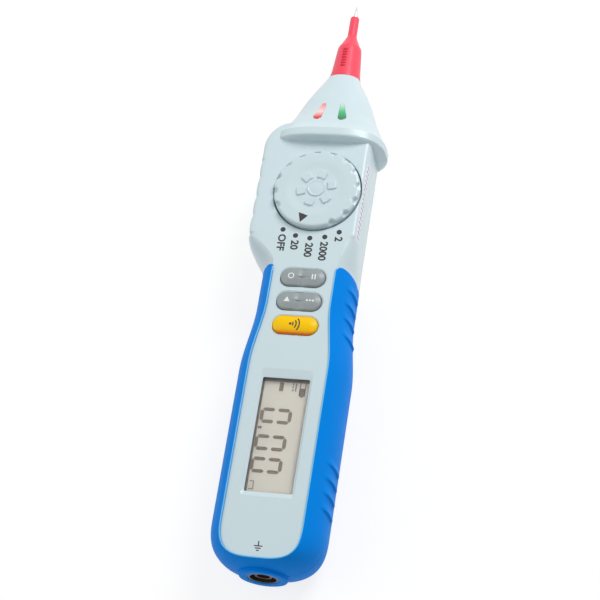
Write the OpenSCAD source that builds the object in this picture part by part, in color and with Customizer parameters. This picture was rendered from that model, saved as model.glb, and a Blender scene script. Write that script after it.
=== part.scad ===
/* [Body] */
// Thickness of the body, from its back to the display face
body_t = 25.2; // [24.6:0.1:26.4]
// Width of the handle beside the battery cover
side_w = 7.1; // [6.8:0.1:7.8]
// Width of the waist between the handle and the head
waist_w = 30.9; // [30:0.1:32]
// Reach of the head to the right of the probe axis
head_right = 15.4; // [15.2:0.1:16.2]
// Reach of the head to the left of the probe axis, where the fingertips lie
head_left = 21.1; // [19.5:0.1:23]
// Height of the parting line between the two housings
parting_z = 14; // [13.6:0.1:14.6]
// Height of the probe axis over the back
axis_z = 12.8; // [12.4:0.1:13.2]
// Wall of the housings
wall = 1.9; // [1.7:0.1:2.2]
// Wall under the display face
face_wall = 2.2; // [2:0.1:2.5]
// Edge radius of the head
head_edge = 3.2; // [2.6:0.1:3.8]

/* [Grip] */
// Thickness of the soft grip on the sides
grip_t = 1.6; // [1.3:0.1:1.8]
// Height of the grip's rim over the display face
grip_proud = 0.6; // [0.3:0.1:1]
// Thickness of the grip under its rims
grip_rim_t = 1.8; // [1.5:0.1:2.2]
// Distance from the upper key to the top of the grip
grip_lead = 3.85; // [3.6:0.05:4.6]
// Height of the ribs on the grip
rib_h = 0.55; // [0.3:0.05:0.8]
// Half width of a rib
rib_w = 1; // [0.8:0.1:1.4]
// Width of the display panel between the grips on the handle
panel_w = 25.2; // [24.4:0.2:26]
// Width of the display panel between the grips at the waist
panel_waist_w = 20.4; // [19.8:0.2:21]

/* [Guard and nose] */
// Width of the finger guard
guard_w = 37.8; // [37:0.2:40]
// Height of the finger guard over the back
guard_h = 29; // [28:0.2:31]
// Thickness of the finger guard
guard_t = 3.6; // [3:0.1:4.4]
// Length of the nose in front of the finger guard
nose_l = 28.8; // [26:0.2:32]
// Radius of the nose where the probe comes out
nose_end_r = 4.95; // [4.8:0.05:5.4]

/* [Probe] */
// Radius of the probe needle
needle_r = 0.8; // [0.7:0.05:0.9]
// Length of the needle's bare point
point_l = 4.2; // [3:0.1:6]
// Length of the tip guard's sleeve
sleeve_l = 12.3; // [11:0.1:14]
// Radius of the tip guard's shoulder
sleeve_top_r = 4; // [3.8:0.05:4.3]
// Length of the tip guard's shoulder cone
cone_l = 4.3; // [3:0.1:6]
// Length of the tip guard's tube
tube_l = 9.4; // [8:0.1:11]
// Radius of the tip guard's tube
tube_r = 1.55; // [1.45:0.05:1.8]
// Radius of the spigot that carries the tip guard
spigot_r = 3.1; // [2.9:0.05:3.3]

/* [Display] */
// Length of the display window
window_l = 37.5; // [36:0.5:39]
// Width of the display window
window_w = 15; // [14:0.2:15.6]
// Distance from the end of the handle to the window
window_from_end = 22.6; // [22:0.1:24]

/* [Keys] */
// Length of a key
key_l = 14.7; // [14.2:0.1:15.4]
// Width of a key along the handle
key_w = 6.3; // [6:0.1:6.5]
// Distance between keys
key_pitch = 8.35; // [8.2:0.05:8.6]
// Distance from the window to the lowest key
window_to_key = 17.85; // [17:0.05:19]
// Height of the keys over the display face
key_proud = 1.2; // [0.8:0.1:1.5]

/* [Dial] */
// Radius of the range dial
dial_r = 14.15; // [13.8:0.05:14.2]
// Height of the dial over the display face
dial_proud = 2.2; // [1.6:0.1:3]
// Distance from the upper key to the middle of the dial
key_to_dial = 31.55; // [31.3:0.05:32.5]
// Distance from the middle of the dial to the finger guard
dial_to_guard = 18.3; // [18.2:0.1:19.4]
// Places for flutes round the dial, of which the three at the pointer stay plain
dial_flutes = 16; // [14:1:20]
// Angle between two switch positions
position_angle = 16.14; // [15:0.01:17]

/* [Socket] */
// Radius of the socket's bore
socket_r = 2; // [2]
// Length of the socket's bore
socket_l = 20; // [18:0.5:20]
// Radius of the hole round the socket
shroud_r = 4.9; // [4.8:0.05:5.1]
// Radius of the collar round the socket
collar_r = 7.6; // [7.2:0.1:7.8]
// Height of the collar over the end of the handle
collar_l = 0.9; // [0.6:0.1:1.4]

/* [Battery] */
// Radius of a battery cell
cell_r = 5.15; // [5.15]
// Length of a battery cell
cell_l = 44.5; // [44.5]
// Thickness of the battery cover
cover_t = 1.7; // [1.5:0.1:1.8]

/* [Hidden] */
$fn = 48;

// Overrun of a cut, room between pieces that move apart, and fit of a piece in its hole
over = 1;
gap = 0.3;
fit = 0.05;
window_low_room = window_from_end + window_l;
handle_l = window_low_room + window_to_key + 2 * key_pitch + grip_lead;
body_l = handle_l - grip_lead + key_to_dial + dial_to_guard;
overall_l = collar_l + body_l + guard_t + nose_l + sleeve_l + cone_l + tube_l + point_l;
socket_y = -overall_l / 2;
end_y = socket_y + collar_l;
guard_y = end_y + body_l;
nose_y = guard_y + guard_t;
nose_end_y = nose_y + nose_l;
grip_y = end_y + handle_l;
dial_y = guard_y - dial_to_guard;
keys_y = dial_y - key_to_dial - key_pitch;
window_y = end_y + window_from_end + window_l / 2;
cell_room = 0.3;
cover_lip = 0.15;
cover_w = 4 * cell_r + cell_room + 2 * cover_lip;
handle_w = cover_w + 2 * side_w;

function lerp(a, b, t) = a + (b - a) * t;
function smooth(t) = t <= 0 ? 0 : t >= 1 ? 1 : t * t * (3 - 2 * t);
function power(v, e) = sign(v) * pow(abs(v), e);

// The waist widens into the handle between these two places
waist_drop = 12.4;
swell_run = 22;
waist_y = grip_y - waist_drop;
swell_y = waist_y - swell_run;
// The head swells to the left over this run
bulge_lead = 1.1;
bulge_y = grip_y - bulge_lead;
bulge_run = 12;
// The handle's round end starts here
round_l = 15.1;
round_y = end_y + round_l;
panel_end = 2.1;
panel_shift = 0.15;
back_inset = 6;
back_end = 5;
// Finger scallops on the head's left edge
scallop_pitch = 7;
scallop_count = 4;
scallop_depth = 0.5;
scallop_lead = 16.4;
scallop_y = dial_y - scallop_lead;
shoulder = 8.6;
shoulder_lead = 3.3;
head_top_y = nose_y + shoulder_lead;

end_power = 2.8;
panel_power = 3.4;
back_power = 2.6;

function narrow(y) = lerp(waist_w, handle_w, smooth((waist_y - y) / (waist_y - swell_y))) / 2;
function panel_half(y) =
    lerp(panel_waist_w, panel_w, smooth((waist_y - y) / (waist_y - swell_y))) / 2;
function right_half(y) = y > grip_y ? lerp(narrow(grip_y), head_right, smooth((y - grip_y) / bulge_run)) : narrow(y);
function scallop(y) = let (u = (y - scallop_y) / scallop_pitch)
    u < 0 || u > scallop_count ? 0 : scallop_depth * pow(abs(2 * (u - floor(u)) - 1), 2.5);
function left_half(y) =
    lerp(narrow(y), head_left - scallop(y), smooth((y - bulge_y) / bulge_run));

// Ribs on the right side of the grip: four at the waist and four on the handle
rib_pitch = 4.95;
rib_low_pitch = 4.65;
rib_lead = 6.1;
rib_low_lead = 34.6;
rib_count = 4;
rib_ys = concat([for (i = [0:rib_count - 1]) grip_y - rib_lead - i * rib_pitch],
                [for (i = [0:rib_count - 1]) end_y + rib_low_lead - i * rib_low_pitch]);
function rib(y) = max([for (r = rib_ys) max(0, 1 - abs(y - r) / rib_w)]);

// A column of the skin is [x, y] on the parting line, on the display face and on the back, then
// the two numbers that shape its edge, an arc on the grip and a small radius on the head, then its rib
function edge_blend(y) = smooth((y - grip_y) / bulge_run);
function side_column(side, y, head) =
    let (w = side > 0 ? right_half(y) : left_half(y), b = head ? edge_blend(y) : 0,
         q = lerp(panel_half(min(y, grip_y)) + (head ? panel_shift : 0), w - head_edge, b))
    [[side * w, y], [side * q, y], [side * (w - back_inset), y], lerp(2, 5, b), lerp(0.77, 1, b),
     head || side < 0 ? 0 : rib_h * rib(y)];
function end_column(a) =
    [[handle_w / 2 * power(cos(a), 2 / end_power), round_y - round_l * power(sin(a), 2 / end_power)],
     [panel_w / 2 * power(cos(a), 2 / panel_power),
      round_y - (round_l - panel_end) * power(sin(a), 2 / panel_power)],
     [(handle_w / 2 - back_inset) * power(cos(a), 2 / back_power),
      round_y - (round_l - back_end) * power(sin(a), 2 / back_power)], 2, 0.77, 0];
function shoulder_column(a) =
    let (cx = shoulder - head_left, cy = head_top_y - shoulder)
    [[cx - shoulder * cos(a), cy + shoulder * sin(a)],
     [cx - (shoulder - head_edge) * cos(a), cy + shoulder * sin(a)],
     [cx - (shoulder - back_inset) * cos(a), cy + shoulder * sin(a)], 5, 1, 0];

end_step = 11.25;
swell_shares = [0.25, 0.5, 0.75, 1];
function rib_run(first) = [for (i = [first:first + rib_count - 1], d = [1, 0, -1]) rib_ys[i] + d * rib_w];
grip_run = concat([grip_y], rib_run(0), [for (t = swell_shares) lerp(rib_ys[rib_count - 1], swell_y, t)],
                  rib_run(rib_count), [round_y]);
plain_shares = [0, 0.1, 0.21, 0.32, 0.42, 0.5, 0.58, 0.66, 0.75, 0.85, 1];
plain_run = concat([for (t = plain_shares) lerp(grip_y, swell_y, t)],
                   [for (t = swell_shares) lerp(swell_y, round_y, t)]);
head_shares = [1, 0.5, 0.3, 0.22, 0.15, 0.09, 0.04, 0];
right_head_run = [for (t = head_shares) lerp(grip_y, head_top_y, t)];
bulge_shares = [0, 0.15, 0.3, 0.45, 0.6, 0.75, 0.88];
scallop_shares = [0, 0.15, 0.5, 0.85];
left_head_run = concat(
    [for (t = bulge_shares) lerp(grip_y, scallop_y, t)],
    [for (i = [0:scallop_count - 1], t = scallop_shares) scallop_y + (i + t) * scallop_pitch],
    [scallop_y + scallop_count * scallop_pitch]);

function reverse(list) = [for (i = [len(list) - 1:-1:0]) list[i]];
grip_columns = concat(
    [for (y = grip_run) side_column(1, y, false)],
    [for (a = [end_step:end_step:180 - end_step]) end_column(a)],
    [for (y = reverse(plain_run)) side_column(-1, y, false)]);
head_right_columns = [for (y = right_head_run) side_column(1, y, true)];
head_left_columns = concat(
    [for (y = left_head_run) side_column(-1, y, true)],
    [for (a = [15:15:90]) shoulder_column(a)]);

// Share of the way in from the parting line to the face edge, at share s of the height
function front_in(s, c) =
    let (m = c[3], a = c[4]) (1 - pow(1 - pow(a * s, m), 1 / m)) / (1 - pow(1 - pow(a, m), 1 / m));
function back_in(s) = 1 - pow(1 - pow(s, 2.2), 1 / 2.2);
function at(p, q, t, z) = [lerp(p[0], q[0], t), lerp(p[1], q[1], t), z];
// The parting line's point of a column, moved in by the grip's thickness
function inner(c) = let (d = c[0] - c[1], n = norm(d)) c[0] - d * min(1, grip_t / n);

front_levels = [0, 0.3, 0.55, 0.75, 0.88, 0.95, 1];
back_levels = [0, 0.3, 0.55, 0.75, 0.88, 0.96, 1];
last_level = 0.985;
function level(list, k) = k < len(list) - 1 ? list[k] : last_level;

function front_skin(c) = concat(
    [for (k = [0:len(front_levels) - 1]) let (s = level(front_levels, k))
        at(c[0], c[1], front_in(s, c), lerp(parting_z, body_t, s))],
    [at(c[0], c[1], 1, body_t)]);
function front_core(c) = concat(
    [for (s = front_levels) at(inner(c), c[1], front_in(s, c), lerp(parting_z, body_t - grip_rim_t, s))],
    [at(c[0], c[1], 1, body_t)]);
rib_rear_shares = [1, 0.45, 0, 0, 0, 0, 0];
function back_skin(c) = concat(
    [for (k = [0:len(back_levels) - 1]) let (s = level(back_levels, k))
        at(c[0], c[2], back_in(s), lerp(parting_z, 0, s)) + [c[5] * rib_rear_shares[k], 0, 0]],
    [at(c[0], c[2], 1, 0)]);
function back_core(c) = concat(
    [for (s = back_levels) at(inner(c), c[2], back_in(s), lerp(parting_z, grip_rim_t, s))],
    [at(c[0], c[2], 1, 0)]);
function back_lining(c) = concat(
    [for (s = back_levels) at(inner(c), c[2], back_in(s), lerp(parting_z, grip_rim_t, s))],
    [at(c[0], c[2], 1, grip_rim_t / 2)]);
rib_shares = [1, 1, 0.95, 0.6, 0.15, 0, 0];
rim_share = 0.93;
rim_top_share = 0.97;
function front_rim(c) = concat(
    [for (k = [0:len(front_levels) - 1]) let (s = front_levels[k])
        at(c[0], c[1], front_in(s, c) * rim_share, lerp(parting_z, body_t + grip_proud, s))
        + [c[5] * rib_shares[k], 0, 0]],
    [at(c[0], c[1], rim_top_share, body_t + grip_proud)]);

function quad(a, b, c, d, turn) = turn ? [[a, b, c], [a, c, d]] : [[a, c, b], [a, d, c]];
function flat(lists) = [for (l = lists, x = l) x];

// Closed solid between columns of points that run round the body; both ends are fans from a middle
module stack(columns, middle, turn) {
    n = len(columns);
    k = len(columns[0]);
    points = concat(flat(columns), [[middle[0], middle[1], columns[0][0][2]],
                                    [middle[0], middle[1], columns[0][k - 1][2]]]);
    sides = [for (i = [0:n - 1], j = [0:k - 2]) let (i2 = (i + 1) % n)
        for (f = quad(i * k + j, i * k + j + 1, i2 * k + j + 1, i2 * k + j, turn)) f];
    low = [for (i = [0:n - 1]) let (a = i * k, b = ((i + 1) % n) * k)
        turn ? [n * k, a, b] : [n * k, b, a]];
    high = [for (i = [0:n - 1]) let (a = i * k + k - 1, b = ((i + 1) % n) * k + k - 1)
        turn ? [n * k + 1, b, a] : [n * k + 1, a, b]];
    polyhedron(points, concat(sides, low, high), convexity = 8);
}

// Closed solid between an outer and an inner run of columns, open at neither end
module band(outer, inner, turn) {
    n = len(outer);
    k = len(outer[0]);
    m = n * k;
    points = concat(flat(outer), flat(inner));
    skin = [for (i = [0:n - 2], j = [0:k - 2])
        for (f = quad(i * k + j, i * k + j + 1, (i + 1) * k + j + 1, (i + 1) * k + j, turn)) f];
    lining = [for (i = [0:n - 2], j = [0:k - 2])
        for (f = quad(m + i * k + j, m + i * k + j + 1, m + (i + 1) * k + j + 1, m + (i + 1) * k + j, !turn)) f];
    low = [for (i = [0:n - 2])
        for (f = quad(i * k, (i + 1) * k, m + (i + 1) * k, m + i * k, turn)) f];
    high = [for (i = [0:n - 2]) let (a = i * k + k - 1, b = (i + 1) * k + k - 1)
        for (f = quad(a, b, m + b, m + a, !turn)) f];
    first = [for (j = [0:k - 2]) for (f = quad(j, m + j, m + j + 1, j + 1, turn)) f];
    last = [for (j = [0:k - 2]) let (a = (n - 1) * k + j)
        for (f = quad(a, m + a, m + a + 1, a + 1, !turn)) f];
    polyhedron(points, concat(skin, lining, low, high, first, last), convexity = 8);
}

middle = [0, lerp(grip_y, dial_y, 0.2)];

module front_body() {
    stack(concat([for (c = head_right_columns) front_skin(c)],
                 [for (c = grip_columns) front_core(c)],
                 [for (c = head_left_columns) front_skin(c)]), middle, false);
}

module rear_body() {
    stack(concat([for (c = head_right_columns) back_skin(c)],
                 [for (c = grip_columns) back_core(c)],
                 [for (c = head_left_columns) back_skin(c)]), middle, true);
}

// Guard and nose: [share of the run, half width share, rise share, fall share, power]
nose_shares = [[0, 1, 1, 1, 2.9], [0.1, 0.905, 0.87, 0.94, 2.8], [0.21, 0.825, 0.77, 0.885, 2.65],
               [0.32, 0.745, 0.685, 0.82, 2.5], [0.43, 0.68, 0.62, 0.765, 2.4],
               [0.54, 0.615, 0.56, 0.71, 2.3], [0.65, 0.54, 0.49, 0.65, 2.2],
               [0.76, 0.45, 0.42, 0.58, 2.1], [0.88, 0.345, 0.335, 0.51, 2.05]];
guard_shares = [[0, 0.8, 0.74], [0.1, 0.93, 0.93], [0.2, 0.985, 0.985], [0.32, 1, 1], [0.88, 1, 1]];
guard_half = guard_w / 2;
guard_rise = guard_h - parting_z;
end_rise = axis_z + nose_end_r - parting_z;
end_fall = parting_z - axis_z + nose_end_r;
nose_steps = 16;

function nose_stations(rise, fall_list) = concat(
    [for (g = guard_shares) [guard_y + g[0] * guard_t, guard_half * g[1], rise * g[2], 2.9]],
    [for (s = nose_shares) [nose_y + s[0] * nose_l, guard_half * s[1], rise * s[fall_list ? 3 : 2], s[4]]]);
module nose(front) {
    rise = front ? guard_rise : parting_z;
    stations = concat(nose_stations(rise, !front),
                      [[nose_end_y, nose_end_r, front ? end_rise : end_fall, 2]]);
    up = front ? 1 : -1;
    rings = [for (s = stations) [for (i = [0:nose_steps]) let (a = 180 * i / nose_steps,
        e = front ? 2 / s[3] : 1)
        [s[1] * power(cos(a), e), s[0], parting_z + up * s[2] * power(sin(a), e)]]];
    n = nose_steps + 1;
    m = len(rings);
    sides = [for (j = [0:m - 2], i = [0:n - 1]) let (i2 = (i + 1) % n)
        for (f = quad(j * n + i, (j + 1) * n + i, (j + 1) * n + i2, j * n + i2, !front)) f];
    start = [for (i = [1:n - 2]) front ? [0, i + 1, i] : [0, i, i + 1]];
    finish = [for (i = [1:n - 2]) let (b = (m - 1) * n) front ? [b, b + i, b + i + 1] : [b, b + i + 1, b + i]];
    polyhedron(flat(rings), concat(sides, start, finish), convexity = 4);
}

// Solid between two rings of four points, the first below the second
module between(a, b) {
    polyhedron(concat(a, b), [[0, 1, 2, 3], [4, 5, 1, 0], [7, 6, 5, 4], [5, 6, 2, 1], [6, 7, 3, 2], [7, 4, 0, 3]]);
}
function ring(x0, x1, y0, y1, z) = [[x0, y0, z], [x1, y0, z], [x1, y1, z], [x0, y1, z]];

module box(x0, x1, y0, y1, z0, z1) {
    translate([x0, y0, z0])
        cube([x1 - x0, y1 - y0, z1 - z0]);
}
module wide(half, y0, y1, z0, z1) {
    box(-half, half, y0, y1, z0, z1);
}
module peg(x, y, r, z0, z1) {
    translate([x, y, z0])
        cylinder(r = r, h = z1 - z0);
}
// Round bar along the probe axis, from y0 to y1
module rod(y0, y1, r, r2) {
    translate([0, y0, axis_z])
        rotate([-90, 0, 0])
            cylinder(r1 = r, r2 = is_undef(r2) ? r : r2, h = y1 - y0);
}

// Heights over the back, from the parting line up to the display face
board_lift = 1.9;
board_t = 1.6;
board_z = parting_z + board_lift;
board_top = board_z + board_t;
under_face = body_t - face_wall;
room_rise = 5.5;
room_z = parting_z + room_rise;

// Rooms inside the front housing
lining = 2.7;
waist_lining = 0.9;
top_lining = 1.4;
handle_room = handle_w / 2 - grip_t - lining;
handle_top_room = panel_w / 2 - top_lining;
waist_room = waist_w / 2 - grip_t - lining;
waist_top_room = panel_waist_w / 2 - waist_lining;
right_lining = 2.3;
left_lining = 3.4;
head_room_right = head_right - right_lining;
head_room_left = head_left - left_lining;
room_end = 9.1;
room_end_y = end_y + room_end;
socket_room = 8;
socket_room_end = 4.1;
socket_room_y = end_y + socket_room_end;
head_room_lead = 8.1;
head_room_y = grip_y + head_room_lead;
nose_room_lead = 1;
nose_room_y = nose_y - nose_room_lead;
nose_room_l = 20;
nose_room_half = 13;
nose_room_end_half = 6;
nose_room_rise = 9;
nose_room_end_rise = 5;
nose_room_end_y = nose_room_y + nose_room_l;

module nose_room() {
    mouth = -axis_z - nose_room_rise;
    floor_z = -axis_z + nose_room_rise;
    translate([0, nose_room_y, 0])
        rotate([-90, 0, 0])
            between(ring(-nose_room_half, nose_room_half, mouth, floor_z, -over),
                    ring(-nose_room_end_half, nose_room_end_half, -axis_z - nose_room_end_rise,
                         -axis_z + nose_room_end_rise, nose_room_l));
}

// Dial well
well_d = 3.1;
well_z = body_t - well_d;
well_floor_t = 1.2;
well_under = well_z - well_floor_t;
well_r = dial_r + gap;
well_wall = 0.95;
shaft_r = 6;

// Case screws: the two at the head stand wide apart, the two at the handle's end lie beside the socket
boss_r = 2.8;
pilot_r = 0.95;
pilot_l = 7;
screw_hole_r = 1.25;
screw_head_r = 2.1;
screw_head_t = 1.8;
screw_sink = 2.2;
left_screw_x = 12.5;
left_screw_lead = 13.9;
right_screw_x = 7;
right_screw_lead = 15.4;
end_screw_x = 8.8;
end_screw_lead = 11.6;
screws = [[-left_screw_x, dial_y + left_screw_lead], [right_screw_x, dial_y + right_screw_lead],
          [end_screw_x, end_y + end_screw_lead], [-end_screw_x, end_y + end_screw_lead]];

// Posts that hold the board down
post_r = 1.2;
head_post_x = 11;
head_post_lead = 16.1;
left_post_x = 15;
left_post_lead = 15.1;
waist_post_x = 8;
waist_post_lead = 18.2;
posts = [[head_post_x, dial_y - head_post_lead], [-left_post_x, dial_y - left_post_lead],
         [waist_post_x, keys_y - waist_post_lead], [-waist_post_x, keys_y - waist_post_lead]];

// Ribs that cradle the socket's insulator
cradle_lead = 7.1;
cradle_t = 1.5;
cradle_half = 9;
cradle_y = end_y + cradle_lead;

// Probe end
holder_lead = 11.3;
holder_y = nose_end_y - holder_lead;
holder_flange_t = nose_room_end_y - holder_y;
holder_flange_r = 4.8;
holder_out = 10.2;
holder_end_y = nose_end_y + holder_out;
brass_r = 2.2;
brass_out = 2;
brass_lead = 17.8;
brass_y = nose_end_y - brass_lead;
brass_end_y = holder_end_y + brass_out;
needle_lead = 7.8;
needle_y = nose_end_y - needle_lead;
cone_y = nose_end_y + sleeve_l;
tube_y = cone_y + cone_l;
point_y = tube_y + tube_l;
tip_y = point_y + point_l;
tip_r = 0.12;

// Socket
contact_lead = 1;
contact_y = socket_y + contact_lead;
contact_wall = 0.75;
contact_end = 0.6;
insulator_lead = 0.3;
insulator_y = socket_y + insulator_lead;
insulator_l = 20.3;
insulator_base = 4.6;
shroud_wall = 0.75;
collar_inner = 2.5;

// Windows of the two indicator lights, each wide at its lower end
light_small_x = 3.1;
light_small_r = 0.7;
light_small_lead = 12.1;
light_big_x = 4.15;
light_big_r = 1.4;
light_big_lead = 6.2;
light_lift = 0.2;
led_t = 1.2;
module light_shape(side, extra) {
    hull() {
        translate([side * light_small_x, nose_y + light_small_lead])
            circle(light_small_r + extra);
        translate([side * light_big_x, nose_y + light_big_lead])
            circle(light_big_r + extra);
    }
}
module light_bar(side, extra) {
    translate([0, 0, board_top + led_t])
        linear_extrude(guard_h - board_top)
            light_shape(side, extra);
}

// Display
glass_d = 0.9;
glass_t = 1.4;
glass_rim = 1.4;
glass_top = body_t - glass_d;
bevel_d = 0.7;
bevel_side = 0.9;
bevel_low = 1.6;
bevel_high = 2.9;
lcd_t = 2.1;
lcd_rim = 1.75;
lcd_top = glass_top - glass_t - gap;
lcd_z = lcd_top - lcd_t;
window_low = window_y - window_l / 2;
window_high = window_y + window_l / 2;
module window_cut() {
    t = (bevel_d + over) / bevel_d;
    half = window_w / 2;
    wide(half, window_low, window_high, under_face - over, body_t + over);
    wide(half + glass_rim, window_low - glass_rim, window_high + glass_rim, under_face - over, glass_top);
    between(ring(-half, half, window_low, window_high, body_t - bevel_d),
            ring(-half - bevel_side * t, half + bevel_side * t, window_low - bevel_low * t,
                 window_high + bevel_high * t, body_t + over));
}

// Keys
key_gap = 0.4;
key_edge = 0.9;
key_travel = 0.5;
skirt_w = 0.6;
skirt_t = 0.8;
skirt_drop = 0.8;
skirt_z = under_face - skirt_drop - skirt_t;
key_top = body_t + key_proud;
key_run = (key_l - key_w) / 2;
key_rim = 0.2;
pivot_r = 0.7;
pivot_sink = 0.3;
key_rim_d = 0.3;
key_ys = [keys_y + key_pitch, keys_y, keys_y - key_pitch];
valley_r = 3;
valley_d = 0.4;
module pill(r, z0, z1) {
    for (side = [-1, 1])
        peg(side * key_run, 0, r, z0, z1);
    box(-key_run, key_run, -r, r, z0, z1);
}
module key_holes() {
    for (y = key_ys)
        translate([0, y, 0]) {
            pill(key_w / 2 + key_gap, under_face - over, body_t + over);
            pill(key_w / 2 + key_gap + key_rim, body_t - key_rim_d, body_t + over);
        }
}

module front_room() {
    difference() {
        union() {
            wide(handle_room, room_end_y, swell_y, parting_z - over, room_z);
            wide(handle_top_room, room_end_y, swell_y, room_z - over, under_face);
            wide(waist_room, swell_y - over, head_room_y, parting_z - over, room_z);
            wide(waist_top_room, swell_y - over, head_room_y, room_z - over, under_face);
            wide(socket_room, socket_room_y, room_end_y + over, parting_z - over, room_z);
            box(-head_room_left, head_room_right, head_room_y - over, nose_room_y, parting_z - over, under_face);
        }
        peg(0, dial_y, well_r + well_wall, well_under, body_t);
    }
    nose_room();
}

module front_housing() {
    color("honeydew")
        difference() {
            union() {
                difference() {
                    union() {
                        front_body();
                        nose(true);
                    }
                    front_room();
                }
                for (p = screws)
                    peg(p[0], p[1], boss_r, parting_z, under_face + over);
                for (p = posts)
                    peg(p[0], p[1], post_r, board_top, under_face + over);
                wide(cradle_half, cradle_y, cradle_y + cradle_t, parting_z, room_z + over);
            }
            for (p = screws)
                peg(p[0], p[1], pilot_r, parting_z - over, parting_z + pilot_l);
            peg(0, dial_y, well_r, well_z, body_t + over);
            peg(0, dial_y, shaft_r + fit, well_under - over, body_t);
            window_cut();
            key_holes();
            for (side = [-1, 1])
                light_bar(side, fit);
            rod(nose_room_end_y - over, nose_end_y + over, spigot_r);
            rod(socket_y - over, insulator_y + insulator_l, shroud_r);
        }
}

// Battery bay
cell_x = cell_r + cell_room / 2;
cell_z_over = 0.95;
cell_z = cover_t + cell_z_over + cell_r;
cell_nub_r = 1.9;
cell_nub_l = 0.8;
spring_l = 2.1;
plate_t = 0.3;
bay_lip = 0.25;
bay_half = 2 * cell_r + cell_room / 2 + bay_lip;
bay_lead = 21;
bay_y = end_y + bay_lead;
plate_low_y = bay_y + plate_t / 3;
cell_low_y = plate_low_y + plate_t;
cell_high_y = cell_low_y + cell_l + spring_l;
plate_high_y = cell_high_y;
bay_end_y = plate_high_y + plate_t;
bay_rib_t = 1.4;
bay_rib_h = 5.6;
seat_l = 4.25;
cover_y = bay_y - seat_l;
cover_end_y = bay_end_y + seat_l;
cover_seat = cover_t + gap;
seat_t = 1.6;
cover_screw_lead = 2.15;
cover_screws_y = [cover_y + cover_screw_lead, cover_end_y - cover_screw_lead];
cover_boss_r = 2;
cover_boss_h = 5;
cover_screw_r = 0.9;
cover_screw_head_r = 1.8;
cover_screw_head_z = 0.3;
cover_screw_sink = 1;
cover_screw_l = 5;
cover_hole_r = 1.2;

low_rise = 4.1;
low_z = wall + low_rise;
low_lining = 2;
seat_z = cover_seat + seat_t;
waist_low_room = 8.2;
waist_rear_room = 9.8;
end_low_room = 9;
end_low_lead = 8.6;
rear_right_lining = 3;
rear_left_lining = 3.7;
rear_low_right = 5;
rear_low_left = 5.6;
rear_top_lead = 1.4;

module rear_room() {
    z1 = parting_z + over;
    wide(bay_half, bay_y, bay_end_y, -over, z1);
    wide(cover_w / 2 + gap, cover_y - gap, cover_end_y + gap, -over, cover_seat);
    wide(bay_half, room_end_y, swell_y + room_end, seat_z, z1);
    wide(end_low_room, end_y + end_low_lead, cover_y - over, wall, z1);
    wide(socket_room, socket_room_y, room_end_y + over, low_z, z1);
    wide(waist_rear_room, swell_y, head_room_y + over, seat_z, z1);
    wide(waist_low_room, cover_end_y + over, head_room_y + over, wall, z1);
    box(-head_left + rear_left_lining, head_right - rear_right_lining, head_room_y, nose_room_y, low_z, z1);
    box(-head_left + rear_low_left, head_right - rear_low_right, head_room_y, nose_y - guard_t - rear_top_lead, wall, z1);
    nose_room();
}

module rear_housing() {
    color("honeydew")
        difference() {
            union() {
                difference() {
                    union() {
                        rear_body();
                        nose(false);
                    }
                    rear_room();
                }
                for (p = screws)
                    peg(p[0], p[1], boss_r, wall - fit, parting_z);
                for (k = [0, 1])
                    peg(posts[k][0], posts[k][1], post_r, wall - fit, board_z);
                for (y = cover_screws_y)
                    peg(0, y, cover_boss_r, cover_seat, cover_seat + cover_boss_h);
                wide(cradle_half, cradle_y, cradle_y + cradle_t, wall - fit, parting_z);
                wide(bay_half + fit, bay_end_y, bay_end_y + bay_rib_t, cover_seat, cover_seat + bay_rib_h);
                wide(bay_half + fit, bay_y - bay_rib_t, bay_y, cover_seat, cover_seat + bay_rib_h);
            }
            for (p = screws) {
                peg(p[0], p[1], screw_hole_r, -over, parting_z + over);
                peg(p[0], p[1], screw_head_r + gap, -over, screw_sink);
            }
            for (y = cover_screws_y)
                peg(0, y, cover_hole_r, -over, cover_seat + cover_boss_h + over);
            rod(nose_room_end_y - over, nose_end_y + over, spigot_r);
            rod(socket_y - over, insulator_y + insulator_l, shroud_r);
        }
}

module collar(z0, z1) {
    intersection() {
        rod(socket_y, end_y + collar_inner - collar_l, collar_r);
        wide(collar_r + over, socket_y - over, end_y + collar_inner, z0, z1);
    }
}

module front_grip() {
    color("dodgerblue")
        difference() {
            union() {
                band([for (c = grip_columns) front_rim(c)], [for (c = grip_columns) front_core(c)], false);
                collar(parting_z, guard_h);
            }
            rod(socket_y - over, room_end_y, shroud_r);
        }
}

module rear_grip() {
    color("dodgerblue")
        difference() {
            union() {
                band([for (c = grip_columns) back_skin(c)], [for (c = grip_columns) back_lining(c)], true);
                collar(0, parting_z);
            }
            rod(socket_y - over, room_end_y, shroud_r);
        }
}

module display_window() {
    color("lightcyan")
        wide(window_w / 2 + glass_rim - fit, window_low - glass_rim + fit, window_high + glass_rim - fit,
             glass_top - glass_t, glass_top);
}

module lcd_panel() {
    color("tan")
        wide(window_w / 2 + lcd_rim, window_low - lcd_rim, window_high + lcd_rim, lcd_z, lcd_top);
}

// The display stands on a frame with a slot on each side for a zebra strip
carrier_rim = 1.1;
zebra_x = 8.6;
zebra_w = 1.2;
zebra_l = 34;
carrier_bar = 3;
module zebra_pair(extra, z0, z1) {
    for (side = [-1, 1])
        box(side * zebra_x - zebra_w / 2 - extra, side * zebra_x + zebra_w / 2 + extra,
            window_y - zebra_l / 2 - extra, window_y + zebra_l / 2 + extra, z0, z1);
}
module lcd_carrier() {
    half = window_w / 2 + lcd_rim;
    color("white")
        difference() {
            wide(half + carrier_rim, window_low - lcd_rim, window_high + lcd_rim, board_top, lcd_z);
            wide(window_w / 2, window_low + carrier_bar, window_high - carrier_bar, board_top - over, lcd_z + over);
            zebra_pair(fit, board_top - over, lcd_z + over);
        }
}

module zebra_strips() {
    color("dimgray")
        zebra_pair(0, board_top, lcd_z);
}

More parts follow.
